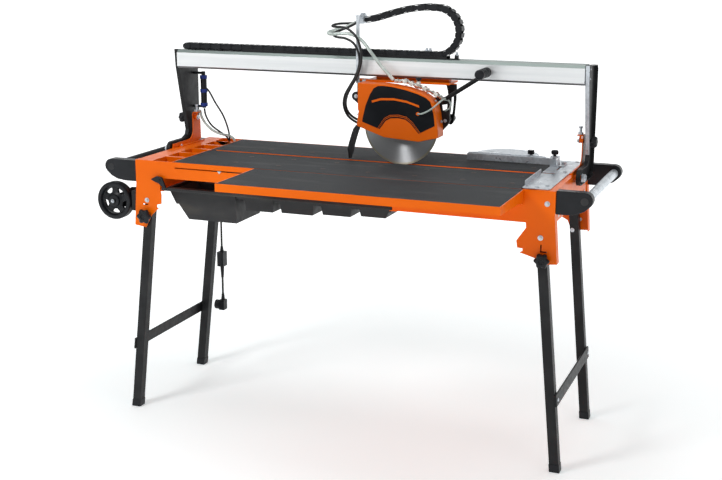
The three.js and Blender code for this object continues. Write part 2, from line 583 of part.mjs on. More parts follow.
function chainLoop() {
  const { radius, thickness, loopX } = CHAIN;
  const mid = CHAIN_LOW + thickness / 2 + radius;
  const ring = (r) => arc(loopX, mid, r, -90, 90, 14).map(([u, v]) => [u + GAP, v]);
  const upper = [[190, 1375.5], [130, 1368], [74, 1354], [20, 1338], [CHAIN_END.x, CHAIN_END.z]];
  const outerRun = ribbon(upper, -thickness / 2).slice(upper.length).reverse();
  const innerRun = ribbon(upper, thickness / 2).slice(upper.length).reverse();
  const outline = [...ring(radius + thickness / 2), ...outerRun, ...innerRun.reverse(),
    ...ring(radius - thickness / 2).reverse()];
  return plateXZ(outline, CHAIN.y0, CHAIN.y1);
}
named('chain_loop', chainLoop(), BLACK_PLASTIC);

// ---------------------------------------------------------------- carriage
const PLATE = { x0: -5, x1: 281, y0: 300, y1: 396, z0: 1134, z1: 1140 };
const HANGER = { y0: 338, y1: 343 };
const STUD = { x: 275, z: 1022, radius: 3 };

function carriage() {
  const middle = (RAIL_FRONT + RAIL_BACK) / 2;
  const [f, b, lo, hi] = [RAIL_FRONT, RAIL_BACK, RAIL_BOTTOM, RAIL_TOP];
  const glide = [[f + 14, lo + 5], [b - 14, lo + 5], [b - 5, lo + 13], [b - 5, hi - 14], [b - 14, hi - 5],
    [f + 14, hi - 5], [f + 5, hi - 14], [f + 5, lo + 13]];
  const shoe = (x) => plateYZ(glide, x, x + 70);
  const reach = Math.hypot(STUD.x - HINGE_X, STUD.z - HINGE_Z);
  const down = THREE.MathUtils.radToDeg(Math.atan2(STUD.z - HINGE_Z, STUD.x - HINGE_X));
  const slot = [...arc(HINGE_X, HINGE_Z, reach - 3.6, down - 1.2, down + 15.2, 8),
    ...arc(HINGE_X, HINGE_Z, reach + 3.6, down + 15.2, down - 1.2, 8)];
  const hangerOutline = [[258, PLATE.z0 + 1], [264, 1114], [267, 1095], [262, 1040], [260, 1018], [264, 1006],
    [278, 1002], [286, 1010], [290, 1040], [294, 1087], [293.5, 1114], [295, 1120], [294, PLATE.z0 + 1]];
  const lug = [[HINGE_X - 14, HINGE_Z], ...arc(HINGE_X, HINGE_Z, 14, 190, 350, 6), [-16, PLATE.z0],
    [40, PLATE.z0], [40, PLATE.z1], [HINGE_X - 14, PLATE.z1]];
  return union(
    box(PLATE.x0, PLATE.x1, PLATE.y0, PLATE.y1, PLATE.z0, PLATE.z1),
    box(20, 270, middle - 12, middle + 12, PLATE.z1 - 1, RAIL_BOTTOM + 12),
    shoe(20), shoe(200),
    cut(plateXZ(hangerOutline, HANGER.y0, HANGER.y1), plateXZ(slot, HANGER.y0 - 1, HANGER.y1 + 1)),
    plateXZ(lug, 330, 336),
    barY(289, 331, HINGE_X, HINGE_Z, 6),
  );
}

function chainPost() {
  return union(
    box(-36, -24, 294, 297, 1128, 1346),
    box(-42, -23, 294, CHAIN.y1, 1343, 1346),
    box(-42, -23, CHAIN.y0, CHAIN.y1, 1318, 1344),
    barZ(1345, 1352, -30, 330, 5, 8),
    barZ(1345, 1352, -30, 352, 5, 8),
    box(-36, PLATE.x0 - GAP, 294, PLATE.y0 + 20, 1128, 1131),
    box(PLATE.x0 - GAP - 12, PLATE.x0 - GAP, PLATE.y0 + 2, PLATE.y0 + 20, 1130, 1139),
  );
}
named('carriage', carriage(), ORANGE);
named('chain_post', chainPost(), ZINC);

// ---------------------------------------------------------------- cutting head
const ARM = { y0: 284.3, y1: 292.3 };
const GUARD = { y0: 225, split: 250, y1: 284, wall: 2 };
const guardOutline = [[88, 966], [205, 958], [270, 974], [269, 999], [262, 1046], [254, 1077], [238, 1096],
  [211, 1112], [161, 1125.5], [110, 1133], [70, 1136], [-3, 1137], [-3, 1052], [0, 1046], [-6, 1006], [-6, 998]];
const HANDLE = { end: [398, 247, 1169.5] };
const GRIP_AXIS = { x: 405, z: 1181 };

function headArm() {
  const outline = [...arc(HINGE_X, HINGE_Z, 15, 180, 250, 4), [40, 1010], ...arc(BLADE_X, BLADE_Z, 72, 200, 290, 6),
    [262, 985], [STUD.x + 8, STUD.z - 14], [STUD.x + 15, STUD.z], [STUD.x + 14, STUD.z + 22], [290, 1075],
    [284, 1094], [262, 1096], [150, 1092], ...arc(HINGE_X, HINGE_Z, 15, 70, 160, 4)];
  const window = plateXZ([[265, 1054], [279, 1057], [284, 1068], [281, 1075], [262, 1072]], ARM.y0 - 1, ARM.y1 + 1);
  const plate = union(
    cut(plateXZ(outline, ARM.y0, ARM.y1), window),
    barY(ARM.y0, 329.7, HINGE_X, HINGE_Z, 13, 20),
  );
  return union(
    cut(plate, barY(270, 340, HINGE_X, HINGE_Z, 6.6), barY(270, 300, BLADE_X, BLADE_Z, 14)),
    barY(ARM.y1 - 1, 358, STUD.x, STUD.z, STUD.radius, 12),
    barY(345, 358, STUD.x, STUD.z, 13, 16),
    barY(ARM.y1 - 1, 336, STUD.x, STUD.z, 7, 12),
    bar([268, 288, 1084], [276, 276, 1092], 9, { sides: 12 }),
    cut(bar([272, 280, 1090], HANDLE.end, 7, { sides: 14 }), barY(200, 305, GRIP_AXIS.x, GRIP_AXIS.z, 16.4)),
  );
}

function motor() {
  return cut(union(
    barY(ARM.y1 + GAP, 430, BLADE_X, BLADE_Z, 62, 32),
    bar([BLADE_X, 429, BLADE_Z], [BLADE_X, 458, BLADE_Z], 60, { r1: 52, sides: 32 }),
    box(BLADE_X - 75, BLADE_X - 30, 320, 400, BLADE_Z - 20, BLADE_Z + 45),
  ), barY(ARM.y1 - 1, ARM.y1 + 8, BLADE_X, BLADE_Z, 16, 16));
}

function guardHalf(y0, y1, wall0, wall1) {
  const shell = cut(
    plateXZ(guardOutline, y0, y1),
    plateXZ(inset(guardOutline, GUARD.wall), y0 === GUARD.y0 ? wall1 : y0 - 1, y0 === GUARD.y0 ? y1 + 1 : wall0),
  );
  const mouth = [[-1, 1003], [-1, 940], [262, 940], [262, 981], [205, 966], [88, 974]];
  return cut(shell, plateXZ(mouth, y0 === GUARD.y0 ? wall1 : y0 - 1, y0 === GUARD.y0 ? y1 + 1 : wall0));
}

// Shaft, inner flange, outer flange and nut, gripping the blade in a groove.
function spindle() {
  const turned = [[0, 240], [7, 240], [7, 246], [14, 246], [14, 254], [30, 254], [30, 260.3], [12.4, 260.3],
    [12.4, 263.5], [30, 263.5], [30, 270], [8, 270], [8, 300], [0, 300]]
    .map(([r, y]) => new THREE.Vector2(r, y));
  const geometry = new THREE.LatheGeometry(turned, 24);
  geometry.translate(BLADE_X, 0, BLADE_Z);
  return solid(geometry);
}

function mudFlap() {
  const line = [[-46, 881], [-38, 905], [-31, 935], [-23, 962], [-15, 985], [-6.6, 997]];
  const wide = plateXZ(ribbon(line, 5), 227, 282);
  const narrowing = plateYZ([[220, 870], [290, 870], [290, 880], [266, 881.6], [220, 927.6]], -80, 0);
  return cut(wide, narrowing);
}

// Water fittings in a row above the guard's rim.
function waterValve() {
  const run = [[110, 1144], [146, 1145], [168, 1138], [212, 1124], [250, 1108], [271, 1096]];
  const pipes = run.slice(1).map(([x, z], i) => bar([run[i][0], 265, run[i][1]], [x, 265, z], 5, { sides: 10 }));
  const nuts = run.slice(1, -1).map(([x, z]) => barY(257, 273, x, z, 8, 6));
  return union(...pipes, ...nuts, barZ(1133, 1146, 190, 265, 7, 10), barZ(1122, 1136, 188, 265, 4, 8));
}

named('head_arm', headArm(), BLACK_PAINT);
named('motor', motor(), BLACK_PAINT);
named('guard_back', cut(guardHalf(GUARD.split + GAP, GUARD.y1, GUARD.y1 - GUARD.wall, GUARD.y1),
  barY(270, 290, BLADE_X, BLADE_Z, 33)), ORANGE);
named('guard_cover', guardHalf(GUARD.y0, GUARD.split, GUARD.y0, GUARD.y0 + GUARD.wall), ORANGE);
named('blade', cut(barY(SLIT_Y - 1.2, SLIT_Y + 1.2, BLADE_X, BLADE_Z, BLADE_RADIUS, 64),
  barY(SLIT_Y - 3, SLIT_Y + 3, BLADE_X, BLADE_Z, 12.7, 24)), STEEL);
named('spindle', spindle(), STEEL);
named('handle_grip', union(
  barY(206, 238, GRIP_AXIS.x, GRIP_AXIS.z, 15), barY(236, 292, GRIP_AXIS.x, GRIP_AXIS.z, 16),
  barY(290, 300, GRIP_AXIS.x, GRIP_AXIS.z, 14),
), BLACK_PLASTIC);
named('mud_flap', mudFlap(), RUBBER);
named('water_valve', waterValve(), BRASS);
placeKnob('valve_knob', starKnob(10, 8, 4, 4), [190, 265, 1146 + GAP], 'up');

// ---------------------------------------------------------------- hoses and cables
const FEED_HOSE = [[-48, 340, 1324], [-66, 341, 1316], [-92, 344, 1304], [-115, 344, 1298], [-134, 336, 1292],
  [-142, 317, 1288], [-134, 298, 1285], [-115, 290, 1284], [-92, 286, 1287], [-50, 286, 1286], [-14, 286, 1268],
  [17, 284, 1234], [52, 280, 1194], [84, 273, 1164], [104, 266, 1148]];
const MOTOR_CABLE = [[-44, 350, 1322], [-66, 352, 1318], [-90, 352, 1316], [-110, 350, 1315], [-126, 344, 1313],
  [-132, 328, 1310], [-126, 312, 1308], [-110, 305, 1307], [-84, 295, 1307], [-56, 281, 1301], [-30, 272, 1283],
  [-12, 270, 1247], [-9, 271, 1204], [-25, 276, 1154], [-46, 277, 1118], [-62, 278, 1086], [-67, 281, 1056],
  [-59, 289, 1029], [-34, 299, 1008], [12, 306, 1000], [55, 315, 1000]];
const LEAD = { radius: 4, x: -696, y: 573, bend: 36 };
const GLAND_TIP = LEAD.y - LEAD.bend - 5;
const LEAD_UPPER = [
  [-690, GLAND_TIP + 0.4, 770],
  ...arc(GLAND_TIP + 5, 770 - LEAD.bend, LEAD.bend, 90, 0, 6).map(([y, z], i) => [-690 - i, y, z]),
  ...[690, 620, 560, 500, 449].map((z) => [LEAD.x, LEAD.y, z]),
];
named('feed_hose', hose(FEED_HOSE, 5.5, { steps: 44 }), CLEAR);
named('motor_cable', hose(MOTOR_CABLE, 4, { steps: 54 }), BLACK_PLASTIC);

// Mains lead: strain relief on the rear apron, a hanging lead with an in-line switch box and an angled plug.
named('lead_gland', bar([-690, DEPTH + GAP, 770], [-690, GLAND_TIP, 770], 9, { r1: 5.5, sides: 16 }), BLACK_PLASTIC);
named('mains_lead', hose(LEAD_UPPER, LEAD.radius, { steps: 40 }), BLACK_PLASTIC);
named('lead_box', union(
  box(LEAD.x - 13, LEAD.x + 13, LEAD.y - 16, LEAD.y + 16, 372, 428),
  bar([LEAD.x, LEAD.y, 374], [LEAD.x, LEAD.y, 326], 8, { r1: 5, sides: 12 }),
  bar([LEAD.x, LEAD.y, 426], [LEAD.x, LEAD.y, 448.7], 8, { r1: 5, sides: 12 }),
), BLACK_PLASTIC);
named('plug_lead', bar([LEAD.x, LEAD.y, 325.7], [LEAD.x, LEAD.y, 262], LEAD.radius, { sides: 8 }), BLACK_PLASTIC);
named('lead_plug', union(
  bar([LEAD.x, LEAD.y, 261.7], [LEAD.x, LEAD.y, 234], 5, { r1: 8, sides: 12 }),
  box(LEAD.x - 12, LEAD.x + 10, LEAD.y - 14, LEAD.y + 14, 198, 237),
  barX(LEAD.x - 30, LEAD.x - 10, LEAD.y, 216, 18, 16),
), BLACK_PLASTIC);

saw.position.set(-OUTLINE_CENTRE.x, -OUTLINE_CENTRE.y, 0);
export default saw;
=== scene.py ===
"""Looks of the bridge tile saw: camera, cords, floor and light, materials, then the pieces body by body."""
import json
import math

import bmesh
import bpy
from mathutils import Matrix, Vector

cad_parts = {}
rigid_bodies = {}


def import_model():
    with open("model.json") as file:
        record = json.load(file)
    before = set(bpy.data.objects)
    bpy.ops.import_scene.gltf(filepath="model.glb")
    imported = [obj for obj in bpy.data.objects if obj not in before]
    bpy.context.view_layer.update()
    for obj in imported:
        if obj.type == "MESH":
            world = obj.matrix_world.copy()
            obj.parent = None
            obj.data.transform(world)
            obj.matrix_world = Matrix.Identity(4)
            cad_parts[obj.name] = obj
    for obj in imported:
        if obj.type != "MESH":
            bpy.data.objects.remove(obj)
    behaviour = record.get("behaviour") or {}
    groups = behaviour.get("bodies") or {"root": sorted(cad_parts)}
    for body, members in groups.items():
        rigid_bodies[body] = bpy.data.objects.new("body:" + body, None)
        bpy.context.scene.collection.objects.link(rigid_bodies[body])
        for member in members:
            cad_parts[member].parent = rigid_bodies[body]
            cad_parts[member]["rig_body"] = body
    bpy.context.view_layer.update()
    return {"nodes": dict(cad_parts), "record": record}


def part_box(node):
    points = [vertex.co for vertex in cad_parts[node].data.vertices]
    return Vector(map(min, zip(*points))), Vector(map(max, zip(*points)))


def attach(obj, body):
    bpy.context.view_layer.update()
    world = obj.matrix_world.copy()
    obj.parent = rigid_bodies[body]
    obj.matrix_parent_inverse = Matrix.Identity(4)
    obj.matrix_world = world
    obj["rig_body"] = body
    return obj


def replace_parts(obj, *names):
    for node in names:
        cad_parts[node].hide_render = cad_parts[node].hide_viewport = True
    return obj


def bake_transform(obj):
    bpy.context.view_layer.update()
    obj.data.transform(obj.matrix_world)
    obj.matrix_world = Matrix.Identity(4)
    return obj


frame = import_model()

NODES = frame["nodes"]
SLOT_OF = {sub["node"]: sub["material_slot"] for sub in frame["record"]["subparts"]}

# The saw's design frame, in millimetres: X = 0 midway between the end plates, Y = 0 on the front apron.
APRON_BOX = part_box("rear_apron")
ORIGIN = Vector(((APRON_BOX[0].x + APRON_BOX[1].x) / 2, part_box("front_apron")[0].y, 0))
TO_FRAME = Matrix.Translation(ORIGIN) @ Matrix.Scale(0.001, 4)


def at(x, y, z):
    """A point of the design frame, in metres in the row frame."""
    return ORIGIN + Vector((x, y, z)) / 1000


def design_box(node):
    """Lowest and highest corner of a CAD node in the design frame, in millimetres."""
    low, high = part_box(node)
    return (low - ORIGIN) * 1000, (high - ORIGIN) * 1000


def centre_of(node):
    """Middle of a CAD node's box in the design frame, in millimetres."""
    low, high = design_box(node)
    return (low + high) / 2


# ---------------------------------------------------------------- camera
def link(obj):
    """Adds an object to the scene and gives it back."""
    bpy.context.scene.collection.objects.link(obj)
    return obj


LENS, SENSOR = 60.41, 36
CAMERA_PLACE = (1428.9, -3403.2, 1582.7)
CAMERA_TURN, CAMERA_DIP, CAMERA_ROLL = 21.359, 13.906, 0.15

camera_data = bpy.data.cameras.new("camera")
camera_data.lens = LENS
camera_data.sensor_width = SENSOR
camera = link(bpy.data.objects.new("camera", camera_data))
camera.matrix_world = (
    Matrix.Translation(at(*CAMERA_PLACE))
    @ Matrix.Rotation(math.radians(CAMERA_TURN), 4, "Z")
    @ Matrix.Rotation(math.radians(90 - CAMERA_DIP), 4, "X")
    @ Matrix.Rotation(math.radians(CAMERA_ROLL), 4, "Z")
)
bpy.context.scene.camera = camera


# ---------------------------------------------------------------- material nodes
class Finish:
    """A Principled material whose colour, roughness and bump come from nodes in object coordinates."""

    def __init__(self, name, roughness, metallic=0.0, coat=0.0, shine=0.25):
        self.material = bpy.data.materials.new(name)
        self.material.use_nodes = True
        self.tree = self.material.node_tree
        self.shader = self.tree.nodes["Principled BSDF"]
        self.shader.inputs["Roughness"].default_value = roughness
        self.shader.inputs["Metallic"].default_value = metallic
        self.shader.inputs["Coat Weight"].default_value = coat
        self.shader.inputs["Coat Roughness"].default_value = 0.12
        self.shader.inputs["Specular IOR Level"].default_value = shine
        self.place = self.node("ShaderNodeTexCoord").outputs["Object"]

    def node(self, kind, **settings):
        """A new node with its settings."""
        made = self.tree.nodes.new(kind)
        for key, value in settings.items():
            setattr(made, key, value)
        return made

    def join(self, a, b):
        self.tree.links.new(a, b)

    def noise(self, scale, detail=3.0, stretch=(1, 1, 1)):
        """Noise with about scale cells to the metre; a small stretch value draws it out along that axis."""
        mapping = self.node("ShaderNodeMapping")
        mapping.inputs["Scale"].default_value = stretch
        self.join(self.place, mapping.inputs["Vector"])
        texture = self.node("ShaderNodeTexNoise")
        texture.inputs["Scale"].default_value = scale
        texture.inputs["Detail"].default_value = detail
        self.join(mapping.outputs["Vector"], texture.inputs["Vector"])
        return texture.outputs["Fac"]

    def cells(self, scale):
        """Flat random cells, about scale to the metre."""
        texture = self.node("ShaderNodeTexVoronoi")
        texture.inputs["Scale"].default_value = scale
        self.join(self.place, texture.inputs["Vector"])
        return texture.outputs["Color"]

    def ramp(self, factor, stops):
        """Colours at positions along a factor."""
        ramp = self.node("ShaderNodeValToRGB")
        elements = ramp.color_ramp.elements
        while len(elements) < len(stops):
            elements.new(0.5)
        for element, (position, colour) in zip(elements, stops):
            element.position = position
            element.color = (*colour, 1)
        self.join(factor, ramp.inputs["Fac"])
        return ramp.outputs["Color"]

    def mix(self, factor, a, b):
        """Colour a where factor is 0 and b where it is 1; each is a socket or a colour."""
        mixer = self.node("ShaderNodeMix", data_type="RGBA")
        self.join(factor, mixer.inputs["Factor"])
        for socket, value in ((mixer.inputs[6], a), (mixer.inputs[7], b)):
            if isinstance(value, tuple):
                socket.default_value = (*value, 1)
            else:
                self.join(value, socket)
        return mixer.outputs[2]

    def axis(self, letter):
        """One object coordinate, in metres."""
        split = self.node("ShaderNodeSeparateXYZ")
        self.join(self.place, split.inputs["Vector"])
        return split.outputs[letter]

    def maths(self, operation, a, b=None, clamp=False):
        """A Math node on sockets or numbers."""
        step = self.node("ShaderNodeMath", operation=operation, use_clamp=clamp)
        for socket, value in zip(step.inputs, (a, b)):
            if isinstance(value, (int, float)):
                socket.default_value = value
            elif value is not None:
                self.join(value, socket)
        return step.outputs[0]

    def above(self, value, limit, blur=0.0004):
        """0 below the limit and 1 above it, with a soft edge."""
        return self.maths("MULTIPLY", self.maths("SUBTRACT", value, limit), 1 / blur, clamp=True)

    def colour(self, socket):
        self.join(socket, self.shader.inputs["Base Color"])
        return self

    def rough(self, factor, low, high):
        """Roughness from low to high as the factor rises."""
        spread = self.node("ShaderNodeMapRange")
        spread.inputs["From Min"].default_value = 0.3
        spread.inputs["From Max"].default_value = 0.7
        spread.inputs["To Min"].default_value = low
        spread.inputs["To Max"].default_value = high
        self.join(factor, spread.inputs["Value"])
        self.join(spread.outputs["Result"], self.shader.inputs["Roughness"])
        return self

    def bump(self, height, distance):
        """Fine relief, distance in metres."""
        bump = self.node("ShaderNodeBump")
        bump.inputs["Distance"].default_value = distance
        self.join(height, bump.inputs["Height"])
        self.join(bump.outputs["Normal"], self.shader.inputs["Normal"])
        return self


ORANGE = (0.88, 0.152, 0.0)
ORANGE_DEEP = (0.79, 0.122, 0.0)
BLACK = (0.010, 0.0105, 0.0115)
BLACK_WORN = (0.020, 0.021, 0.0225)


def orange_paint():
    f = Finish("orange_paint", 0.36, coat=0.03, shine=0.12)
    f.colour(f.ramp(f.noise(2.2, 4), [(0.35, ORANGE_DEEP), (0.62, ORANGE)])).rough(f.noise(40, 4), 0.28, 0.4)
    return f.bump(f.noise(1500, 2), 0.00006)


def black_paint():
    f = Finish("black_paint", 0.42, shine=0.22)
    f.colour(f.ramp(f.noise(14, 5), [(0.4, BLACK), (0.7, BLACK_WORN)])).rough(f.noise(60, 4), 0.36, 0.5)
    return f.bump(f.noise(1700, 2), 0.0001)


def black_plastic():
    f = Finish("black_plastic", 0.36, shine=0.26)
    f.colour(f.ramp(f.noise(9, 4), [(0.4, (0.006, 0.0072, 0.0095)), (0.7, (0.013, 0.0145, 0.018))]))
    return f.rough(f.noise(70, 3), 0.3, 0.46).bump(f.noise(1300, 3), 0.00008)


def tray_plastic():
    f = Finish("tray_plastic", 0.5)
    smear = f.noise(5, 5, (1, 1, 3))
    f.colour(f.ramp(smear, [(0.38, (0.024, 0.025, 0.027)), (0.6, (0.034, 0.034, 0.035)),
                            (0.75, (0.052, 0.049, 0.044))]))
    return f.rough(f.noise(35, 4), 0.42, 0.62).bump(f.noise(900, 4), 0.00012)


def mat_rubber():
    f = Finish("mat_rubber", 0.72)
    scuffs = f.noise(9, 6, (0.35, 1.6, 1))
    fine = f.noise(160, 3, (0.05, 1, 1))
    colour = f.ramp(scuffs, [(0.34, (0.034, 0.037, 0.041)), (0.54, (0.052, 0.056, 0.060)),
                             (0.7, (0.098, 0.101, 0.103))])
    f.colour(f.mix(f.maths("MULTIPLY", fine, 0.35), colour, (0.028, 0.030, 0.033)))
    return f.rough(scuffs, 0.58, 0.8).bump(f.noise(1100, 3, (0.4, 1, 1)), 0.00015)


def zinc_plate():
    f = Finish("zinc_plate", 0.36, metallic=0.7)
    spangle = f.ramp(f.cells(120), [(0.0, (0.46, 0.50, 0.54)), (1.0, (0.70, 0.74, 0.78))])
    f.colour(f.mix(f.maths("MULTIPLY", f.noise(18, 4), 0.5), spangle, (0.58, 0.63, 0.68)))
    return f.rough(f.noise(45, 4), 0.26, 0.45).bump(f.noise(700, 3), 0.00005)


def rail_aluminium():
    """Drawn aluminium with a darker step along its top and in the shade below."""
    f = Finish("rail_aluminium", 0.36, metallic=0.55)
    low, high = (corner.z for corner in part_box("rail"))
    height = f.axis("Z")
    streaks = f.noise(60, 4, (0.02, 1, 1))
    face = f.ramp(streaks, [(0.35, (0.80, 0.83, 0.84)), (0.65, (0.90, 0.92, 0.93))])
    upper = f.mix(f.above(height, high - 0.0092), face, (0.27, 0.32, 0.305))
    under = f.above(f.maths("MULTIPLY", height, -1), -(low + 0.0065))
    f.colour(f.mix(under, upper, (0.20, 0.20, 0.21)))
    return f.rough(streaks, 0.3, 0.46).bump(streaks, 0.00003)


def blade_steel():
    """Ground steel: fine rings round the arbor, and a pale sintered rim."""
    f = Finish("blade_steel", 0.46, metallic=1.0)
    away = f.node("ShaderNodeVectorMath", operation="SUBTRACT")
    f.join(f.place, away.inputs[0])
    away.inputs[1].default_value = at(*centre_of("blade"))
    flat = f.node("ShaderNodeVectorMath", operation="MULTIPLY")
    flat.inputs[1].default_value = (1, 0, 1)
    f.join(away.outputs[0], flat.inputs[0])
    size = f.node("ShaderNodeVectorMath", operation="LENGTH")
    f.join(flat.outputs[0], size.inputs[0])
    radius = size.outputs["Value"]
    rings = f.node("ShaderNodeTexNoise", noise_dimensions="1D")
    rings.inputs["Scale"].default_value = 900
    rings.inputs["Detail"].default_value = 2
    f.join(radius, rings.inputs["W"])
    ground = f.ramp(rings.outputs["Fac"], [(0.3, (0.40, 0.415, 0.43)), (0.7, (0.58, 0.59, 0.60))])
    grit = f.ramp(f.noise(900, 3), [(0.35, (0.42, 0.39, 0.31)), (0.65, (0.66, 0.62, 0.50))])
    rim = f.above(radius, 0.1185)
    f.colour(f.mix(rim, ground, grit))
    f.join(f.maths("ADD", f.maths("MULTIPLY", rim, 0.14), 0.46), f.shader.inputs["Roughness"])
    f.shader.inputs["Anisotropic"].default_value = 1.0
    f.shader.inputs["Anisotropic Rotation"].default_value = 0.25
    tangent = f.node("ShaderNodeTangent", direction_type="RADIAL", axis="Y")
    f.join(tangent.outputs["Tangent"], f.shader.inputs["Tangent"])
    return f


def brass_fittings():
    f = Finish("brass_fittings", 0.27, metallic=1.0)
    f.colour(f.ramp(f.noise(90, 3), [(0.4, (0.52, 0.51, 0.46)), (0.62, (0.72, 0.71, 0.67))]))
    return f.rough(f.noise(120, 3), 0.2, 0.36)


def clear_hose():
    f = Finish("clear_hose", 0.18, shine=0.5)
    f.colour(f.ramp(f.noise(30, 3), [(0.4, (0.62, 0.71, 0.67)), (0.65, (0.78, 0.84, 0.81))]))
    f.shader.inputs["Transmission Weight"].default_value = 0.45
    f.shader.inputs["IOR"].default_value = 1.42
    return f.bump(f.noise(260, 2), 0.00008)


def cable_rubber():
    f = Finish("cable_rubber", 0.42, shine=0.4)
    f.colour(f.ramp(f.noise(22, 4), [(0.4, (0.010, 0.010, 0.011)), (0.7, (0.020, 0.020, 0.021))]))
    return f.bump(f.noise(500, 3), 0.00008)


def blue_plastic():
    f = Finish("blue_plastic", 0.4)
    f.colour(f.ramp(f.noise(12, 3), [(0.4, (0.012, 0.030, 0.20)), (0.7, (0.022, 0.052, 0.32))]))
    return f.bump(f.noise(1200, 2), 0.00006)


MAKERS = (orange_paint, black_paint, black_plastic, tray_plastic, mat_rubber, zinc_plate, rail_aluminium,
          blade_steel, brass_fittings, clear_hose, cable_rubber, blue_plastic)
MATERIALS = {maker.__name__: maker().material for maker in MAKERS}


# ---------------------------------------------------------------- mesh tools, all in millimetres
def emit(name, bm, body, slot, smooth=38, scale=TO_FRAME, material=None):
    """Turns a bmesh into a finished piece that rides on a body."""
    bmesh.ops.recalc_face_normals(bm, faces=bm.faces)
    if scale is not None:
        bmesh.ops.transform(bm, matrix=scale, verts=bm.verts)
    mesh = bpy.data.meshes.new(name)
    bm.to_mesh(mesh)
    bm.free()
    mesh.shade_smooth()
    mesh.set_sharp_from_angle(angle=math.radians(smooth))
    obj = link(bpy.data.objects.new(name, mesh))
    obj.data.materials.append(material or MATERIALS[slot])
    weighted = obj.modifiers.new("weighted", "WEIGHTED_NORMAL")
    weighted.keep_sharp = True
    if body:
        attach(obj, body)
    return obj


def body_of_node(node):
    return NODES[node]["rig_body"]


def round_off(bm, edges, width, segments):
    """Bevels edges to a round of this width."""
    bmesh.ops.bevel(bm, geom=edges, offset=width, segments=segments, profile=0.5, affect="EDGES",
                    clamp_overlap=True)


def node_mesh(node):
    """A copy of a CAD node's mesh, in metres, with its flat faces whole."""
    bm = bmesh.new()
    bm.from_mesh(NODES[node].data)
    bmesh.ops.remove_doubles(bm, verts=bm.verts, dist=1e-5)
    bmesh.ops.dissolve_limit(bm, angle_limit=math.radians(0.8), verts=bm.verts, edges=bm.edges)
    return bm


def finish(node, edge=0.5, segments=2, material=None):
    """A node's own shape with every edge rounded, in place of the faceted solid."""
    bm = node_mesh(node)
    limit = math.radians(32)
    round_off(bm, [e for e in bm.edges if len(e.link_faces) == 2 and e.calc_face_angle(0) > limit],
              edge / 1000, segments)
    obj = emit(f"{node}_shell", bm, body_of_node(node), SLOT_OF[node], scale=None, material=material)
    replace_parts(obj, node)
    return obj


def soften(bm, faces, edge, segments=2):
    """Rounds the edges of newly made faces."""
    if edge <= 0:
        return
    edges = {e for face in faces for e in face.edges if len(e.link_faces) == 2}
    round_off(bm, [e for e in edges if e.calc_face_angle(0) > math.radians(30)], edge, segments)


PLANES = {"xz": lambda u, v, w: (u, w, v), "yz": lambda u, v, w: (w, u, v), "xy": lambda u, v, w: (u, v, w)}


def prism(bm, outline, plane, low, high, edge=0.6, segments=2):
    """A plate with its outline in a plane, from low to high across it."""
    place = PLANES[plane]
    rings = [[bm.verts.new(place(u, v, w)) for u, v in outline] for w in (low, high)]
    faces = [bm.faces.new(rings[0]), bm.faces.new(reversed(rings[1]))]
    count = len(outline)
    for i in range(count):
        j = (i + 1) % count
        faces.append(bm.faces.new((rings[0][j], rings[0][i], rings[1][i], rings[1][j])))
    bmesh.ops.recalc_face_normals(bm, faces=faces)
    soften(bm, faces, edge, segments)


def block(bm, low, high, edge=0.8, segments=2):
    """A box between two corners."""
    outline = [(low[0], low[2]), (high[0], low[2]), (high[0], high[2]), (low[0], high[2])]
    prism(bm, outline, "xz", low[1], high[1], edge, segments)


def turn_to(axis):
    """The rotation that brings Z onto an axis."""
    return Vector(axis).normalized().to_track_quat("Z", "Y").to_matrix()


def skin(bm, rings):
    """Joins rings of vertices; a ring of one vertex is a tip."""
    for a, b in zip(rings, rings[1:]):
        count = max(len(a), len(b))
        for i in range(count):
            j = (i + 1) % count
            corners = [a[i % len(a)], a[j % len(a)], b[j % len(b)], b[i % len(b)]]
            corners = list(dict.fromkeys(corners))
            if len(corners) > 2:
                bm.faces.new(corners)


def lathe(bm, profile, base, axis, sides=32, lobes=0, depth=0.0):
    """Turns a profile of (radius, height) round an axis through base; lobes wave its radius."""
    spin, base = turn_to(axis), Vector(base)
    rings = []
    for radius, height in profile:
        if radius < 1e-6:
            rings.append([bm.verts.new(base + spin @ Vector((0, 0, height)))])
            continue
        ring = []
        for i in range(sides):
            a = 2 * math.pi * i / sides
            r = radius * (1 - depth + depth * math.cos(lobes * a))
            ring.append(bm.verts.new(base + spin @ Vector((r * math.cos(a), r * math.sin(a), height))))
        rings.append(ring)
    skin(bm, rings)


def bolt(bm, base, axis, across=8.0, height=5.0, washer=1.8):
    """A hexagon head on a washer, standing on base along axis."""
    if washer:
        r = across * 0.95
        rim = [(r - 0.3, 0), (r, 0.4), (r, washer - 0.4), (r - 0.3, washer)]
        lathe(bm, [(0, 0), *rim, (0, washer)], base, axis, 24)
    r = across * 0.58
    top = washer + height
    lathe(bm, [(0, washer - 0.1), (r, washer), (r, top - 0.8), (r * 0.86, top), (0, top)], base, axis, 6)


def dome(bm, base, axis, radius, height, sides=20):
    """A round rivet or cap head."""
    profile = [(0, 0), (radius, 0), (radius, height * 0.35), (radius * 0.88, height * 0.72),
               (radius * 0.55, height * 0.94), (0, height)]
    lathe(bm, profile, base, axis, sides)


def star_knob(bm, base, axis, radius, depth, stem, lobes):
    """A moulded star grip: a hub on its stem, and a lobed head with rounded shoulders."""
    lathe(bm, [(0, 0), (radius * 0.42, 0), (radius * 0.42, stem + 1), (0, stem + 1)], base, axis, 24)
    shape = [(0.0, 0.0), (0.72, 0.0), (0.92, 0.12), (1.0, 0.32), (1.0, 0.66), (0.93, 0.86), (0.76, 1.0),
             (0.4, 1.0), (0.34, 0.86), (0.0, 0.86)]
    profile = [(radius * r, stem + depth * h) for r, h in shape]
    lathe(bm, profile, base, axis, lobes * 10, lobes, 0.11)


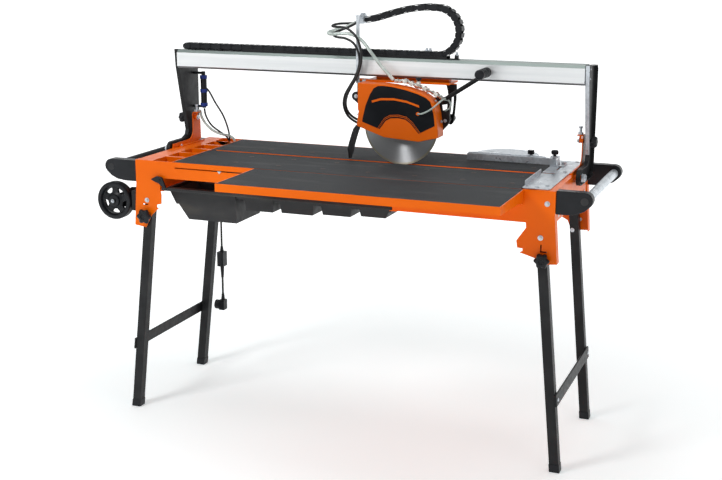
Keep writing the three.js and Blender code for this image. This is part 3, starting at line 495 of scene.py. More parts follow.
def smooth_route(points, spacing=5.0):
    """Points of a centripetal Catmull-Rom curve through a given route."""
    points = [Vector(p) for p in points]
    points = [2 * points[0] - points[1], *points, 2 * points[-1] - points[-2]]
    route = []
    for a, b, c, d in zip(points, points[1:], points[2:], points[3:]):
        k0 = 0.0
        k1 = k0 + (b - a).length ** 0.5
        k2 = k1 + (c - b).length ** 0.5
        k3 = k2 + (d - c).length ** 0.5
        steps = max(1, round((c - b).length / spacing))
        for i in range(steps):
            t = k1 + (k2 - k1) * i / steps
            ab = ((k1 - t) * a + (t - k0) * b) / (k1 - k0)
            bc = ((k2 - t) * b + (t - k1) * c) / (k2 - k1)
            cd = ((k3 - t) * c + (t - k2) * d) / (k3 - k2)
            abc = ((k2 - t) * ab + (t - k0) * bc) / (k2 - k0)
            bcd = ((k3 - t) * bc + (t - k1) * cd) / (k3 - k1)
            route.append(((k2 - t) * abc + (t - k1) * bcd) / (k2 - k1))
    return [*route, points[-2]]


def sweep(bm, route, radius, sides):
    """A closed tube along a route."""
    route = [Vector(p) for p in route]
    across = Vector((0, 0, 1))
    rings = []
    for i, point in enumerate(route):
        along = (route[min(i + 1, len(route) - 1)] - route[max(i - 1, 0)]).normalized()
        across = across - along * across.dot(along)
        if across.length < 1e-3:
            across = along.orthogonal()
        across.normalize()
        other = along.cross(across)
        rings.append([bm.verts.new(point + radius * (math.cos(a) * across + math.sin(a) * other))
                      for a in (2 * math.pi * k / sides for k in range(sides))])
    skin(bm, rings)
    bm.faces.new(rings[0])
    bm.faces.new(rings[-1])


def arc(u, v, radius, start, end, steps):
    """Points along an arc in a plane, its angles in degrees."""
    angles = (math.radians(start + (end - start) * i / steps) for i in range(steps + 1))
    return [(u + radius * math.cos(a), v + radius * math.sin(a)) for a in angles]


# ---------------------------------------------------------------- cords and hoses
def metres(points):
    """A route in the row frame."""
    return [at(*p) for p in points]


def cord_curve(name, route, radius, body, slot):
    """A cord that rides on one body, as a curve along its route."""
    data = bpy.data.curves.new(name, "CURVE")
    data.dimensions = "3D"
    data.bevel_depth = radius / 1000
    data.bevel_resolution = 3
    data.use_fill_caps = True
    spline = data.splines.new("POLY")
    spline.points.add(len(route) - 1)
    for point, place in zip(spline.points, metres(route)):
        point.co = (*place, 1)
    obj = link(bpy.data.objects.new(name, data))
    data.materials.append(MATERIALS[slot])
    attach(obj, body)
    return obj


def cord_tube(name, route, radius, slot):
    """A cord that runs across a joint, as a mesh tube that rides on no body."""
    bm = bmesh.new()
    sweep(bm, route, radius, 14)
    obj = emit(name, bm, None, slot)
    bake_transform(obj)
    return obj


# Routes in the design frame. The CAD model's cords follow the same points.
FEED_HOSE = [(-48, 340, 1324), (-66, 341, 1316), (-92, 344, 1304), (-115, 344, 1298), (-134, 336, 1292),
             (-142, 317, 1288), (-134, 298, 1285), (-115, 290, 1284), (-92, 286, 1287), (-50, 286, 1286),
             (-14, 286, 1268), (17, 284, 1234), (52, 280, 1194), (84, 273, 1164), (104, 266, 1148)]
MOTOR_CABLE = [(-44, 350, 1322), (-66, 352, 1318), (-90, 352, 1316), (-110, 350, 1315), (-126, 344, 1313),
               (-132, 328, 1310), (-126, 312, 1308), (-110, 305, 1307), (-84, 295, 1307), (-56, 281, 1301),
               (-30, 272, 1283), (-12, 270, 1247), (-9, 271, 1204), (-25, 276, 1154), (-46, 277, 1118),
               (-62, 278, 1086), (-67, 281, 1056), (-59, 289, 1029), (-34, 299, 1008), (12, 306, 1000),
               (55, 315, 1000)]
SWITCH_CABLE = [(-46, 332, 1322), (-64, 334, 1312), (-86, 334, 1302), (-104, 332, 1295), (-118, 325, 1289),
                (-123, 312, 1284), (-117, 300, 1279), (-103, 293, 1275), (-70, 286, 1272), (-40, 281, 1258),
                (-23, 280, 1230), (-19, 281, 1194), (-34, 283, 1150), (-54, 284, 1118), (-72, 286, 1086),
                (-77, 289, 1052), (-65, 297, 1018), (-34, 306, 995), (14, 313, 986), (58, 322, 986)]
NOZZLE_HOSE = [(280, 264, 1096), (277, 248, 1094), (270, 231, 1086), (258, 217, 1073), (240, 209, 1060),
               (220, 210, 1051), (204, 220, 1048)]
BYPASS_HOSE = [(273, 270, 1092), (286, 279, 1088), (293, 283, 1076), (289, 283, 1063), (274, 280, 1055)]
SUPPLY_HOSE = [(-690, 424, 990), (-684, 426, 962), (-666, 430, 934), (-640, 437, 912), (-612, 446, 902),
               (-591, 455, 897), (-577, 464, 884), (-574, 468, 866)]
SUPPLY_CABLE = [(-672, 424, 1076), (-655, 427, 1060), (-632, 432, 1018), (-606, 440, 972), (-594, 449, 930),
                (-592, 458, 900), (-594, 464, 878)]
SUPPLY_LEAD = [(-672, 424, 996), (-668, 426, 970), (-650, 432, 936), (-622, 444, 911), (-602, 456, 893),
               (-596, 466, 872)]
LEAD_X, LEAD_Y, LEAD_BEND, LEAD_TOP = -696, 573, 36, 770
GLAND_TIP = LEAD_Y - LEAD_BEND - 5
LEAD = [(-690, GLAND_TIP + 0.4, LEAD_TOP)]
LEAD_ARC = arc(GLAND_TIP + 5, LEAD_TOP - LEAD_BEND, LEAD_BEND, 90, 0, 6)
LEAD += [(-690 - i, y, z) for i, (y, z) in enumerate(LEAD_ARC)]
LEAD += [(LEAD_X, LEAD_Y, z) for z in (690, 620, 560, 500, 449)]
PLUG_LEAD = [(LEAD_X, LEAD_Y, z) for z in (325.7, 304, 283, 262)]


def make_cords():
    """The mains lead first, then the cords of the head, and those between the table and the bridge."""
    gland, switch_box = finish("lead_gland", 0.8), finish("lead_box", 1.8, 3)
    plug = finish("lead_plug", 1.6, 3)
    lead = cord_curve("mains_lead_cord", smooth_route(LEAD), 4, "frame", "cable_rubber")
    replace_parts(lead, "mains_lead")
    tail = cord_curve("plug_lead_cord", smooth_route(PLUG_LEAD), 4, "frame", "cable_rubber")
    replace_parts(tail, "plug_lead")
    tubes = (
        ("feed_hose_tube", FEED_HOSE, 5.5, "clear_hose", "feed_hose", 0.44),
        ("motor_cable_tube", MOTOR_CABLE, 4, "cable_rubber", "motor_cable", 0.63),
        ("switch_cable_tube", SWITCH_CABLE, 4, "cable_rubber", None, 0.6),
    )
    for name, points, radius, slot, node, length in tubes:
        route = smooth_route(points)
        tube = cord_tube(name, route, radius, slot)
        if node:
            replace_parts(tube, node)
    for name, points, length in (("nozzle_hose", NOZZLE_HOSE, 0.124), ("bypass_hose", BYPASS_HOSE, 0.064)):
        tube = cord_curve(name, smooth_route(points), 3, "head", "clear_hose")
    sides = (
        ("supply_hose", SUPPLY_HOSE, 4.5, "clear_hose", 0.192),
        ("supply_cable", SUPPLY_CABLE, 3.2, "cable_rubber", 0.224),
        ("supply_lead", SUPPLY_LEAD, 3.2, "cable_rubber", 0.159),
    )
    for name, points, radius, slot, length in sides:
        route = smooth_route(points)
        tube = cord_tube(name, route, radius, slot)


make_cords()


# ---------------------------------------------------------------- two-tone materials
def masked(maker, name, colour, height, sign=1):
    """The same material with another colour above a height in metres, or below it where sign is -1."""
    f = maker()
    f.material.name = name
    base = f.shader.inputs["Base Color"].links[0].from_socket
    value = f.maths("MULTIPLY", f.axis("Z"), sign)
    f.colour(f.mix(f.above(value, height * sign), base, colour))
    return f.material


CARRIAGE_MATERIAL = masked(orange_paint, "carriage_paint", BLACK, 1.1325, -1)
BAR_MATERIAL = masked(zinc_plate, "stop_bar_plate", (0.012, 0.012, 0.013), 0.9078)

# ---------------------------------------------------------------- folded sheet, tubes and castings
EDGES = {
    0.7: "front_apron rear_apron left_end_rack right_end_plate left_fin right_fin extension_table",
    0.45: "table_deck ruler_plate stop_bracket chain_post rail",
    0.9: "left_upright right_upright head_arm wheel_carrier mud_flap spindle",
    1.6: "left_front_leg left_rear_leg right_front_leg right_rear_leg "
         "left_crossbar right_crossbar tray_latch",
    2.6: "right_front_ear right_rear_ear left_handle",
    1.8: "water_tray water_pump",
    1.0: "guard_back right_grip_tube water_valve",
}
for width, names in EDGES.items():
    for node_name in names.split():
        finish(node_name, width, 3 if width > 1.5 else 2)
finish("carriage", 0.8, material=CARRIAGE_MATERIAL)
finish("stop_bar", 0.45, material=BAR_MATERIAL)


def guard_cover():
    """The front half of the guard, with the edge of its front face rolled over."""
    bm = node_mesh("guard_cover")
    front = min(v.co.y for v in bm.verts)
    round_off(bm, [e for e in bm.edges if all(abs(v.co.y - front) < 1e-4 for v in e.verts)
                   and e.calc_face_angle(0) > 1], 0.0045, 5)
    obj = emit("guard_cover_shell", bm, "head", "orange_paint", scale=None)
    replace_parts(obj, "guard_cover")


guard_cover()


# ---------------------------------------------------------------- ribbed rubber mats
MAT_TOP = 878
RIB_PITCH, GROOVE_WIDTH, GROOVE_DEPTH = 8.0, 1.5, 0.9
SCREW = [(0, 0), (8, 0), (8, 0.35), (7.2, 0.6), (3.4, 0.6), (3, -0.2), (0, -0.2)]


def ribbed_mat(name, node):
    """A mat with fine grooves along the table and eased upper edges."""
    low, high = design_box(node)
    outline = [(low.y, low.z), (low.y, high.z - 1), (low.y + 0.8, high.z)]
    y = low.y + RIB_PITCH
    floor = high.z - GROOVE_DEPTH
    while y < high.y - RIB_PITCH * 0.6:
        end = y + GROOVE_WIDTH
        outline += [(y, high.z), (y + 0.3, floor), (end - 0.3, floor), (end, high.z)]
        y += RIB_PITCH
    outline += [(high.y - 0.8, high.z), (high.y, high.z - 1), (high.y, low.z)]
    bm = bmesh.new()
    steps = [low.x, low.x + 0.8, high.x - 0.8, high.x]
    rings = []
    for i, x in enumerate(steps):
        drop = 0.8 if i in (0, 3) else 0
        rings.append([bm.verts.new((x, u, v - drop if v > low.z + 1 else v)) for u, v in outline])
    skin(bm, rings)
    bm.faces.new(rings[0])
    bm.faces.new(rings[-1])
    obj = emit(name, bm, body_of_node(node), "mat_rubber", 25)
    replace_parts(obj, node)


ribbed_mat("front_mat_ribbed", "front_mat")
ribbed_mat("rear_mat_ribbed", "rear_mat")
ribbed_mat("extension_mat_ribbed", "extension_mat")


def mat_details():
    """Countersunk screws that hold the mats down, and the rubber edge over the front apron."""
    bm = bmesh.new()
    for y in (75, 192, 347, 460):
        for k in range(7):
            lathe(bm, SCREW, (-370 + 154 * k, y, MAT_TOP), (0, 0, 1), 20)
    f = Finish("screw_caps", 0.5)
    f.colour(f.ramp(f.noise(60, 3), [(0.4, (0.050, 0.034, 0.028)), (0.65, (0.085, 0.066, 0.058))]))
    emit("mat_screws", bm, "frame", "mat_rubber", 30, material=f.material)
    bm = bmesh.new()
    block(bm, (-563, 0.2, MAT_TOP + 0.05), (596.4, 4.4, MAT_TOP + 0.75), 0.25, 1)
    emit("front_mat_edge", bm, "frame", "mat_rubber", 30)


mat_details()


# ---------------------------------------------------------------- energy chain
CHAIN_MID_Y = 344
CHAIN_HALF = 18
LOOP_X, LOOP_Z, LOOP_RADIUS = 225, 1299.5, 75
LOWER_Z = LOOP_Z - LOOP_RADIUS
CHAIN_START = -692


def turned(outline, place, u):
    """An outline with its first axis along u, moved to a place."""
    return [(place[0] + u[0] * a - u[1] * b, place[1] + u[1] * a + u[0] * b) for a, b in outline]


def chain_link(bm, place, direction, inner, step):
    """One link: two side plates with round ends, and a bar across the top and the bottom."""
    half = step * 0.5
    shift, round_end = (2.4, 8.2) if inner else (0.0, 9.8)
    middle = half - 5.2
    plate = arc(middle, 0, round_end, -62, 62, 4) + arc(-middle, 0, round_end, 118, 242, 4)
    for side in (-1, 1):
        outer = CHAIN_HALF - shift
        near, far = sorted((side * outer, side * (outer - 3.2)))
        prism(bm, turned(plate, place, direction), "xz", CHAIN_MID_Y + near, CHAIN_MID_Y + far, 0.6, 1)
    end, across = half - 2.6, CHAIN_HALF - 1.2
    for level in (-1, 1):
        low, high = sorted((level * 11.0, level * 8.8))
        bar = [(-end, low), (end, low), (end, high), (-end, high)]
        prism(bm, turned(bar, place, direction), "xz", CHAIN_MID_Y - across, CHAIN_MID_Y + across, 0.5, 1)


def link_run(points, count):
    """Evenly spaced (place, direction, step) along a line of points."""
    points = [Vector(p) for p in points]
    lengths = [0.0]
    for a, b in zip(points, points[1:]):
        lengths.append(lengths[-1] + (b - a).length)
    step = lengths[-1] / count
    made = []
    for k in range(count):
        want = (k + 0.5) * step
        i = max(i for i, length in enumerate(lengths[:-1]) if length <= want)
        span = points[i + 1] - points[i]
        made.append((points[i] + span * ((want - lengths[i]) / span.length), span.normalized(), step))
    return made


def chain_part(name, points, count, replaced=None):
    """Links along a line, as one mesh that rides on no body."""
    bm = bmesh.new()
    for k, (place, direction, step) in enumerate(link_run(points, count)):
        chain_link(bm, place, direction, k % 2, step)
    obj = emit(name, bm, None, "black_plastic", 30)
    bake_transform(obj)
    if replaced:
        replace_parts(obj, replaced)


UPPER_POINTS = [(225, 1374.5), (190, 1375.5), (130, 1368), (74, 1354), (20, 1338), (-18, 1330)]
UPPER_LINE = [(x, z) for x, z, _ in smooth_route([(x, z, 0) for x, z in UPPER_POINTS])]
chain_part("chain_lower_links", [(CHAIN_START, LOWER_Z), (LOOP_X, LOWER_Z)], 46,
           "chain_lower_run")
chain_part("chain_loop_links", arc(LOOP_X, LOOP_Z, LOOP_RADIUS, -90, 90, 36), 12,
           "chain_loop")
chain_part("chain_upper_links", UPPER_LINE, 12)


# ---------------------------------------------------------------- blade, guard dressing and motor
BLADE = (133.6, 261.9, 999.6)
ARCH_POINTS = 7


def ring(bm, profile, base, axis, sides=64):
    """A closed profile of (radius, height) turned round an axis."""
    spin, base = turn_to(axis), Vector(base)
    rings = []
    for radius, height in profile:
        rings.append([bm.verts.new(base + spin @ Vector((radius * math.cos(a), radius * math.sin(a), height)))
                      for a in (2 * math.pi * i / sides for i in range(sides))])
    skin(bm, [*rings, rings[0]])


def blade():
    """The disc: a steel core with its bore, and a slightly thicker rim."""
    bm = bmesh.new()
    side = [(12.7, 0.85), (60, 0.85), (116.6, 0.85), (117.4, 1.2), (124.5, 1.2), (125, 0.8)]
    ring(bm, side + [(r, -h) for r, h in reversed(side)], BLADE, (0, 1, 0), 128)
    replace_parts(emit("blade_disc", bm, "blade", "blade_steel", 30), "blade")


# Outline of the black panel on the guard; its last points are the arch over the blade.
PANEL = [(12.8, 1013), (16, 1030), (25, 1067), (40, 1103), (52, 1122), (66, 1130), (84, 1131.5),
         (120, 1128.5), (161, 1121), (200, 1110.5), (228, 1100), (243, 1088), (250, 1068), (256, 1040),
         (259, 1012), (206, 984.5), (178.5, 1015), (161, 1027), (136, 1031), (111, 1029), (94, 1020),
         (73, 992)]


def guard_dressing():
    """The plain black panel with its orange band and arch lines, the hose nozzle, and the guard's screws."""
    bm = bmesh.new()
    prism(bm, list(reversed(PANEL)), "xz", 224.1, 225.2, 0.25, 1)
    film = black_plastic()
    film.material.name = "panel_film"
    film.shader.inputs["Specular IOR Level"].default_value = 0.08
    emit("guard_panel", bm, "head", "black_plastic", material=film.material)
    bm = bmesh.new()
    band = [(46, 1083), (76, 1092), (120, 1094), (164, 1088), (206, 1075)]
    under = [(x + 1, z - 7) for x, z in reversed(band)]
    prism(bm, band + under, "xz", 223.6, 224.6, 0.2, 1)
    arch = PANEL[-ARCH_POINTS:][::-1]
    for k in (1, 2):
        line = [(136 + (x - 136) * (1 + 0.06 * k), 990 + (z - 990) * (1 + 0.11 * k)) for x, z in arch]
        prism(bm, line + [(x, z + 1.6) for x, z in reversed(line)], "xz", 223.7, 224.6, 0)
    nozzle = [(0, -1.5), (6, -1.5), (6, 2.4), (4.6, 3), (3.6, 3), (3.4, 1), (0, 1)]
    lathe(bm, nozzle, (203, 225, 1048), (0, -1, 0), 24)
    emit("guard_band", bm, "head", "orange_paint")
    bm = bmesh.new()
    for x, y, z in ((268.5, 262, 1022), (-5, 240, 1034), (-5, 268, 1034)):
        bolt(bm, (x, y, z), (1 if x > 0 else -1, 0, 0.05), 5.5, 3.2, 1.2)
    bolt(bm, (249, 262, 1086), (0.7, 0, 0.7), 5, 3, 1.2)
    for x, z in ((150, 1131), (222, 1110)):
        dome(bm, (x, 262, z), (0.2, 0, 1), 4, 3)
    emit("guard_screws", bm, "head", "zinc_plate", 30)


def motor():
    """Flange, finned body, fan cowl with its slots, and the terminal box with a cable gland."""
    bm = bmesh.new()
    x, _, z = BLADE
    lathe(bm, [(0, 0), (58, 0), (60.5, 2), (60.5, 15), (57, 17), (0, 17)], (x, 292.6, z), (0, 1, 0), 64)
    fins = []
    for k in range(40):
        for share, r in ((0.0, 56.5), (0.45, 56.5), (0.5, 61.6), (0.92, 61.6)):
            a = 2 * math.pi * (k + share) / 40
            fins.append((x + r * math.cos(a), z + r * math.sin(a)))
    prism(bm, fins, "xz", 308, 418, 0)
    cowl = [(0, 0), (60, 0), (61.5, 2), (61.5, 12), (60, 14), (60, 16), (61, 18), (60, 34), (56, 39),
            (50, 40.5)]
    for r in (46, 38, 30, 22):
        cowl += [(r, 40.5), (r - 0.4, 37.5), (r - 3.6, 37.5), (r - 4, 40.5)]
    lathe(bm, [*cowl, (12, 41), (0, 41)], (x, 416.5, z), (0, 1, 0), 64)
    block(bm, (x - 74, 322, z - 19), (x - 46, 398, z + 44), 3.5, 3)
    block(bm, (x - 76, 319, z + 12), (x - 70, 401, z + 16), 1.2)
    lathe(bm, [(0, 0), (8, 0), (8, 7), (6.5, 9), (6.5, 13), (0, 13)], (x - 60, 322, z + 2), (0, -1, 0), 6)
    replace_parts(emit("motor_body", bm, "head", "black_plastic", 35), "motor")


def handle_grip():
    """The ribbed rubber grip on the head's handle."""
    bm = bmesh.new()
    profile = [(0, 0), (10, 0), (14, 1.6), (15.6, 5), (15.6, 12), (14.8, 14)]
    for k in range(15):
        h = 15 + 4.4 * k
        profile += [(14.7, h), (15.7, h + 0.9), (15.7, h + 2.9), (14.7, h + 3.8)]
    profile += [(15.9, 82), (15.9, 86), (13.8, 88), (13.8, 92.6), (11, 94), (0, 94)]
    lathe(bm, profile, (405, 206, 1181), (0, 1, 0), 40)
    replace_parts(emit("handle_grip_ribbed", bm, "head", "black_plastic", 32), "handle_grip")


blade()
guard_dressing()
motor()
handle_grip()


# ---------------------------------------------------------------- knobs
def knob(name, node, place, axis, radius, depth, stem, lobes=6):
    """A star knob in place of a node."""
    bm = bmesh.new()
    star_knob(bm, place, axis, radius, depth, stem, lobes)
    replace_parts(emit(name, bm, body_of_node(node), "black_plastic", 34), node)


knob("left_leg_star", "left_leg_knob", (-669, -0.3, 691), (0, -1, 0), 26, 17, 7)
knob("right_leg_star", "right_leg_knob", (672, -0.3, 671), (0, -1, 0), 24, 17, 7)
knob("left_lock_star", "left_lock_knob", (-713.8, 380, 967), (-1, 0, 0), 19, 20, 12)
knob("right_lock_star", "right_lock_knob", (713.8, 380, 967), (1, 0, 0), 19, 20, 12)
knob("stop_star", "stop_knob", (610, 394, 912.3), (0, 0, 1), 12, 14, 5, 8)
knob("valve_star", "valve_knob", (190, 265, 1146.3), (0, 0, 1), 10, 8, 4, 4)


# ---------------------------------------------------------------- wheels
AXLE_X, AXLE_Z = -794, 731
TYRE = [(49, 3), (50.5, 0.8), (56, 0), (61, 1), (63.4, 3.4), (64, 6), (64, 14), (63.2, 15), (63.2, 19),
        (64, 20), (64, 28), (63.4, 30.6), (61, 33), (56, 34), (50.5, 33.2), (49, 31), (47, 24), (43.5, 22),
        (43.5, 12), (47, 10)]
HUB = [(8.6, 0.4), (17, 0.4), (19.5, 1.6), (21, 8), (27, 11), (29, 12.5), (29, 21.5), (27, 23), (21, 26),
       (19.5, 32.4), (17, 33.6), (8.6, 33.6)]
SPOKE = [(25, -13), (37, -10.5), (48, -15), (48, 15), (37, 10.5), (25, 13)]
SPOKES = 5


def wheel(name, node, y):
    """A solid tyre with stepped shoulders, a hub, and five flared spokes between them."""
    bm = bmesh.new()
    ring(bm, TYRE, (AXLE_X, y, AXLE_Z), (0, 1, 0), 72)
    ring(bm, HUB, (AXLE_X, y, AXLE_Z), (0, 1, 0), 48)
    for k in range(SPOKES):
        a = math.radians(18 + 360 * k / SPOKES)
        spoke = turned(SPOKE, (AXLE_X, AXLE_Z), (math.cos(a), math.sin(a)))
        prism(bm, spoke, "xz", y + 11.5, y + 22.5, 1.8, 2)
    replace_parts(emit(name, bm, node, "black_plastic", 32), node)


wheel("front_wheel_spoked", "front_wheel", -1)
wheel("rear_wheel_spoked", "rear_wheel", 477)


# ---------------------------------------------------------------- bolts and small fittings on the frame
RAIL_TOP = 1212
PIVOT_Y, PIVOT_Z = 261.9, 873
SLEEVE = [(0, 0), (13, 0), (13.4, 0.5), (13.4, 2), (13, 2.4), (0, 2.4)]
PIVOT_NUT = [(0, 0), (12.4, 0), (13, 0.8), (13, 7.6), (12.2, 8.6), (9.4, 8.8), (9.4, 10.6), (8.4, 11.2),
             (0, 11.2)]
FIN_NUT = [(0, 0), (8.4, 0), (9, 0.6), (9, 6.4), (8.4, 7.2), (0, 7.2)]
FIN_SCREW = [(0, 0), (4.4, 0), (4.4, 14), (6.6, 14.4), (6.6, 18.6), (6, 19.4), (0, 19.4)]
GRIP_PLUG = [(0, -0.4), (11.5, -0.4), (11.5, 0.5), (10.6, 1.1), (0, 1.1)]


def frame_hardware():
    """Bolts and rivets of the aprons and end plates, pivot nuts, fin screws, and the grip tubes' plugs."""
    bm = bmesh.new()
    for x, z in ((662.7, 736.5), (-664, 744), (679, 839.4)):
        bolt(bm, (x, 0, z), (0, -1, 0), 8.6, 5.5, 1.8)
    bolt(bm, (679.2, 507, 686.6), (0, -1, 0), 7, 4, 1.5)
    for x, z in ((662.7, 736.5), (-664, 744), (-679, 820), (679, 820)):
        bolt(bm, (x, 510, z), (0, 1, 0), 8.6, 5.5, 1.8)
    for y, way in ((-5, -1), (515, 1)):
        bolt(bm, (AXLE_X, y, AXLE_Z), (0, way, 0), 6.5, 5, 2)
    for x, y in ((664, 486), (664, 60), (640, 33), (664, 300)):
        dome(bm, (x, y, MAT_TOP + 2.4), (0, 0, 1), 6.4, 3, 24)
    for y, z in ((60, 826), (440, 826), (60, 796), (440, 796)):
        for side in (-1, 1):
            dome(bm, (side * 700.2, y, z), (side, 0, 0), 5.5, 2.4)
    for side in (-1, 1):
        out, fin_x = (side, 0, 0), side * 689.2
        for y in (286, 420):
            bolt(bm, (side * 690, y, 881), (0, 0, 1), 5, 3.6, 1.4)
        bolt(bm, (side * 700.4, 399, 966), out, 6, 4, 1.2)
        lathe(bm, SLEEVE, (side * 725.7, PIVOT_Y, PIVOT_Z), out, 28)
        lathe(bm, PIVOT_NUT, (side * 728, PIVOT_Y, PIVOT_Z), out, 6)
        lathe(bm, FIN_NUT, (fin_x, 398, 986.2), (0, 0, 1), 6)
        lathe(bm, FIN_SCREW, (fin_x, 398, 993), (0, 0, 1), 12)
        bolt(bm, (side * 686.4, 399, 966), (-side, 0, 0), 9, 5, 2)
    prism(bm, [(-399, 859.5), (-384, 859.5), (-391.5, 851)], "xz", -2.2, 0.4, 0.4, 1)
    emit("frame_fasteners", bm, "frame", "zinc_plate", 30)

    bm = bmesh.new()
    for x, z in ((-797, 847.5), (787, 853.5)):
        for y, way in ((1, -1), (509, 1)):
            lathe(bm, GRIP_PLUG, (x, y, z), (0, way, 0), 28)
    emit("grip_plugs", bm, "frame", "tray_plastic", 30)


# Each pair of legs: foot's X, lean (X for each Z), pivot height, and distance from the pivot to the rivets.
LEGS = {"left": (-747, 0.1144, 744.6, 518), "right": (731.3, -0.0959, 736.5, 508)}
CAP = 26


def leg_feet():
    """Moulded caps on the feet, and the rivets that hold the crossbars."""
    for side, (foot, lean, pivot, along) in LEGS.items():
        body, way = f"{side}_legs", (-1 if side == "left" else 1)
        top = foot + lean * CAP
        outline = [(foot - 16.6, 0), (foot + 16.6, 0), (top + 16.4, CAP), (top - 16.4, CAP)]
        bm = bmesh.new()
        for y in (9, 471):
            prism(bm, outline, "xz", y - 1.4, y + 31.4, 1.6, 2)
        emit(f"{side}_leg_feet", bm, body, "black_plastic", 34)
        bm = bmesh.new()
        tilt = math.atan(lean)
        up = Vector((math.sin(tilt), 0, math.cos(tilt)))
        out = Vector((math.cos(tilt), 0, -math.sin(tilt))) * way
        place = Vector((foot + lean * pivot, 0, pivot)) - up * along
        for y in (24, 486):
            dome(bm, place + out * 21.2 + Vector((0, y, 0)), out, 6, 3.4)
        if side == "right":
            bolt(bm, (662, 470.8, 656), (0, -1, 0), 7.5, 4, 1.5)
        emit(f"{side}_leg_rivets", bm, body, "zinc_plate", 30)


def bridge_hardware():
    """Bright zinc strip on the right upright as a painted highlight of its flange's reflection, rail screws,
    and the trough of the energy chain.
    """
    # Painted highlight: this bright zinc strip stands in for the reflection along the upright's flange.
    front = [(316, RAIL_TOP), (321, 1153), (352, 1020), (375.4, 926)]
    edge = front + [(u - 1.6, v - 0.3) for u, v in reversed(front)]
    bm = bmesh.new()
    prism(bm, edge, "yz", 712, 724, 0.4, 1)
    for side in (-1, 1):
        for y, z in ((325, 1196), (325, 1166), (367, 1196), (367, 1166)):
            bolt(bm, (side * 713.5, y, z), (side, 0, 0), 6, 4, 1.4)
    emit("upright_highlight_strip_and_screws", bm, "bridge", "zinc_plate", 30)
    bm = bmesh.new()
    foot = RAIL_TOP + 0.2
    for x in (-652, -600, -548):
        block(bm, (x - 7, 318, foot), (x + 7, 326.2, 1217), 0.6, 1)
    for low, high in ((322.4, 324.8), (363.2, 365.6)):
        block(bm, (-463, low, foot), (263, high, 1221), 0.5, 1)
    block(bm, (-463, 324, RAIL_TOP + 0.1), (263, 364, 1213.3), 0.4, 1)
    block(bm, (264, 336, foot), (300, 354, 1214.6), 0.5, 1)
    block(bm, (285, 338, 1214.4), (296, 352, 1225), 0.8, 1)
    emit("chain_trough", bm, "bridge", "black_paint", 34)
    bm = bmesh.new()
    bolt(bm, (291, 345, 1224.8), (0, 0, 1), 7.5, 8, 2.5)
    for x in (189, 201):
        bolt(bm, (x, 345, 1235.8), (0, 0, 1), 7.5, 7, 2.5)
    emit("chain_bolts", bm, "bridge", "zinc_plate", 30)


def connector():
    """The in-line plug connector: black body with its holder on the upright, blue collars."""
    x, y = -672, 424
    body = [(0, 0), (6, 0), (7, 1), (7, 6), (11, 8), (11, 112), (8, 116), (7, 118), (7, 129), (6, 130),
            (0, 130)]
    collar = [(10.4, 0), (12.4, 0), (13, 1), (13, 11), (12.4, 12), (10.4, 12)]
    bm = bmesh.new()
    lathe(bm, body, (x, y, 998), (0, 0, 1), 36)
    for z in (999, 1118):
        block(bm, (-710.6, y - 5.8, z), (x, y + 5.8, z + 8), 1)
    obj = emit("connector_body", bm, "bridge", "black_plastic", 32)
    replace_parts(obj, "cable_connector")
    bm = bmesh.new()
    for z in (1004, 1053, 1102):
        ring(bm, collar, (x, y, z), (0, 0, 1), 36)
    emit("connector_collars", bm, "bridge", "blue_plastic", 32)


def tray_ribs():
    """Rolled front lip and stiffening ribs moulded on the tray, and the screw of its latch."""
    bm = bmesh.new()
    for x in (-345, -213, -69, 61):
        block(bm, (x - 7, 60, 763), (x - 4, 420, 770), 1)
        block(bm, (x + 4, 60, 763), (x + 7, 420, 770), 1)
    block(bm, (-604, -0.6, 780.6), (194, 1.4, 786), 0.8, 2)
    emit("tray_ribs", bm, "tray", "tray_plastic", 34)
    bm = bmesh.new()
    bolt(bm, (-606, -12.6, 818), (0, -1, 0), 4, 2.6, 1)
    emit("latch_screw", bm, body_of_node("tray_latch"), "black_paint", 30)


def head_fittings():
    """Union nuts and valve body on the water line, and the bolts through the hinge, guard and blade."""
    bm = bmesh.new()
    line = [(110, 1144), (146, 1145), (168, 1138), (212, 1124), (250, 1108), (271, 1096)]
    nut = [(0, 0), (6.6, 0), (7.2, 0.8), (7.2, 5.6), (6.6, 6.4), (0, 6.4)]
    valve = [(0, 0), (9, 0), (9.4, 1), (9.4, 10), (9, 11), (0, 11)]
    for (x0, z0), (x1, z1) in zip(line, line[1:]):
        along = Vector((x1 - x0, 0, z1 - z0))
        for share in (0.2, 0.62):
            lathe(bm, nut, Vector((x0, 265, z0)) + along * share, along, 6)
    lathe(bm, valve, (181, 265, 1134.5), (1, 0, -0.3), 16)
    emit("valve_nuts", bm, "head", "brass_fittings", 30)
    bm = bmesh.new()
    bolt(bm, (-32, 284, 1086), (0, -1, 0), 7, 4, 1.4)
    bolt(bm, (275, 358, 1022), (0, 1, 0), 5, 3, 1)
    bolt(bm, (275, 284.2, 1022), (0, -1, 0), 6, 4, 1.4)
    bolt(bm, (BLADE[0], 240, BLADE[2]), (0, -1, 0), 6, 3, 0)
    emit("head_bolts", bm, "head", "zinc_plate", 30)


frame_hardware()
leg_feet()
bridge_hardware()
connector()
tray_ribs()
head_fittings()


# ---------------------------------------------------------------- floor and light
FLOOR_REACH = 60.0
FLOOR_Z = -0.0006
COVE_Y, COVE_RADIUS, COVE_STEPS = 6.0, 4.0, 14


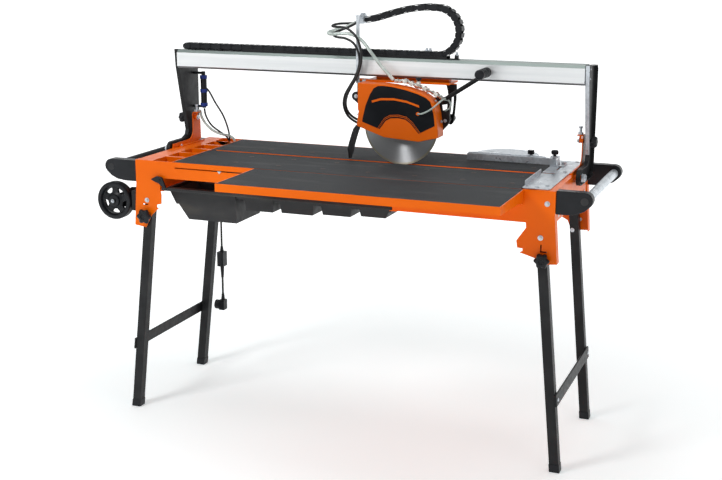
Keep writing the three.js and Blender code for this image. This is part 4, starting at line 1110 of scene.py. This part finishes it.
def scenery():
    """A white floor that curves up into a back wall; its glow keeps the far part white, and near the saw it
    is painted light that lifts the saw's shadow.
    """
    bm = bmesh.new()
    line = [(-FLOOR_REACH, FLOOR_Z)]
    for t in range(COVE_STEPS + 1):
        a = math.radians(90 * t / COVE_STEPS)
        line.append((COVE_Y + COVE_RADIUS * math.sin(a), COVE_RADIUS * (1 - math.cos(a)) + FLOOR_Z))
    rows = [[bm.verts.new((x, y, z)) for x in (-FLOOR_REACH, FLOOR_REACH)] for y, z in line]
    for a, b in zip(rows, rows[1:]):
        bm.faces.new((a[0], a[1], b[1], b[0]))
    mesh = bpy.data.meshes.new("floor")
    bm.to_mesh(mesh)
    bm.free()
    mesh.shade_smooth()
    floor = link(bpy.data.objects.new("floor", mesh))
    f = Finish("floor", 0.7, shine=0.0)
    # The faint cyan of the floor's colour and glow is painted colour that cancels the orange bounce light in
    # the saw's shadow.
    f.colour(f.ramp(f.noise(0.7, 2), [(0.4, (0.925, 0.955, 0.957)), (0.65, (0.945, 0.975, 0.977))]))
    away = f.node("ShaderNodeVectorMath", operation="LENGTH")
    f.join(f.place, away.inputs[0])
    tens = f.maths("MULTIPLY", away.outputs["Value"], 0.1)
    # Near the saw the glow is painted light that brightens the cast shadow; farther out it keeps the floor
    # white.
    glow = f.ramp(tens, [(0.1, (0.33, 0.355, 0.36)), (0.3, (0.85, 0.85, 0.85))])
    f.join(glow, f.shader.inputs["Emission Color"])
    f.shader.inputs["Emission Strength"].default_value = 1.0
    mesh.materials.append(f.material)


def softbox(name, place, aim, size, power):
    """A white rectangular light at a place, facing its aim, in metres and watts."""
    light = bpy.data.lights.new(name, "AREA")
    light.shape = "RECTANGLE"
    light.size, light.size_y = size
    light.energy = power
    obj = link(bpy.data.objects.new(name, light))
    obj.location = place
    obj.rotation_euler = (Vector(aim) - Vector(place)).to_track_quat("-Z", "Y").to_euler()


scenery()
world = bpy.data.worlds.new("studio")
bpy.context.scene.world = world
world.use_nodes = True
world.node_tree.nodes["Background"].inputs["Color"].default_value = (1, 1, 1, 1)
world.node_tree.nodes["Background"].inputs["Strength"].default_value = 0.33
softbox("key", (-1.64, -2.68, 3.1), (-0.4, 0, 0.8), (0.9, 0.9), 52)
softbox("top", (0.0, 0.4, 3.4), (0, 0.1, 0.8), (3.0, 2.0), 34)
softbox("fill", (3.0, -1.8, 1.6), (0.4, 0, 0.8), (1.2, 1.6), 6)
bpy.context.scene.view_settings.view_transform = "Standard"
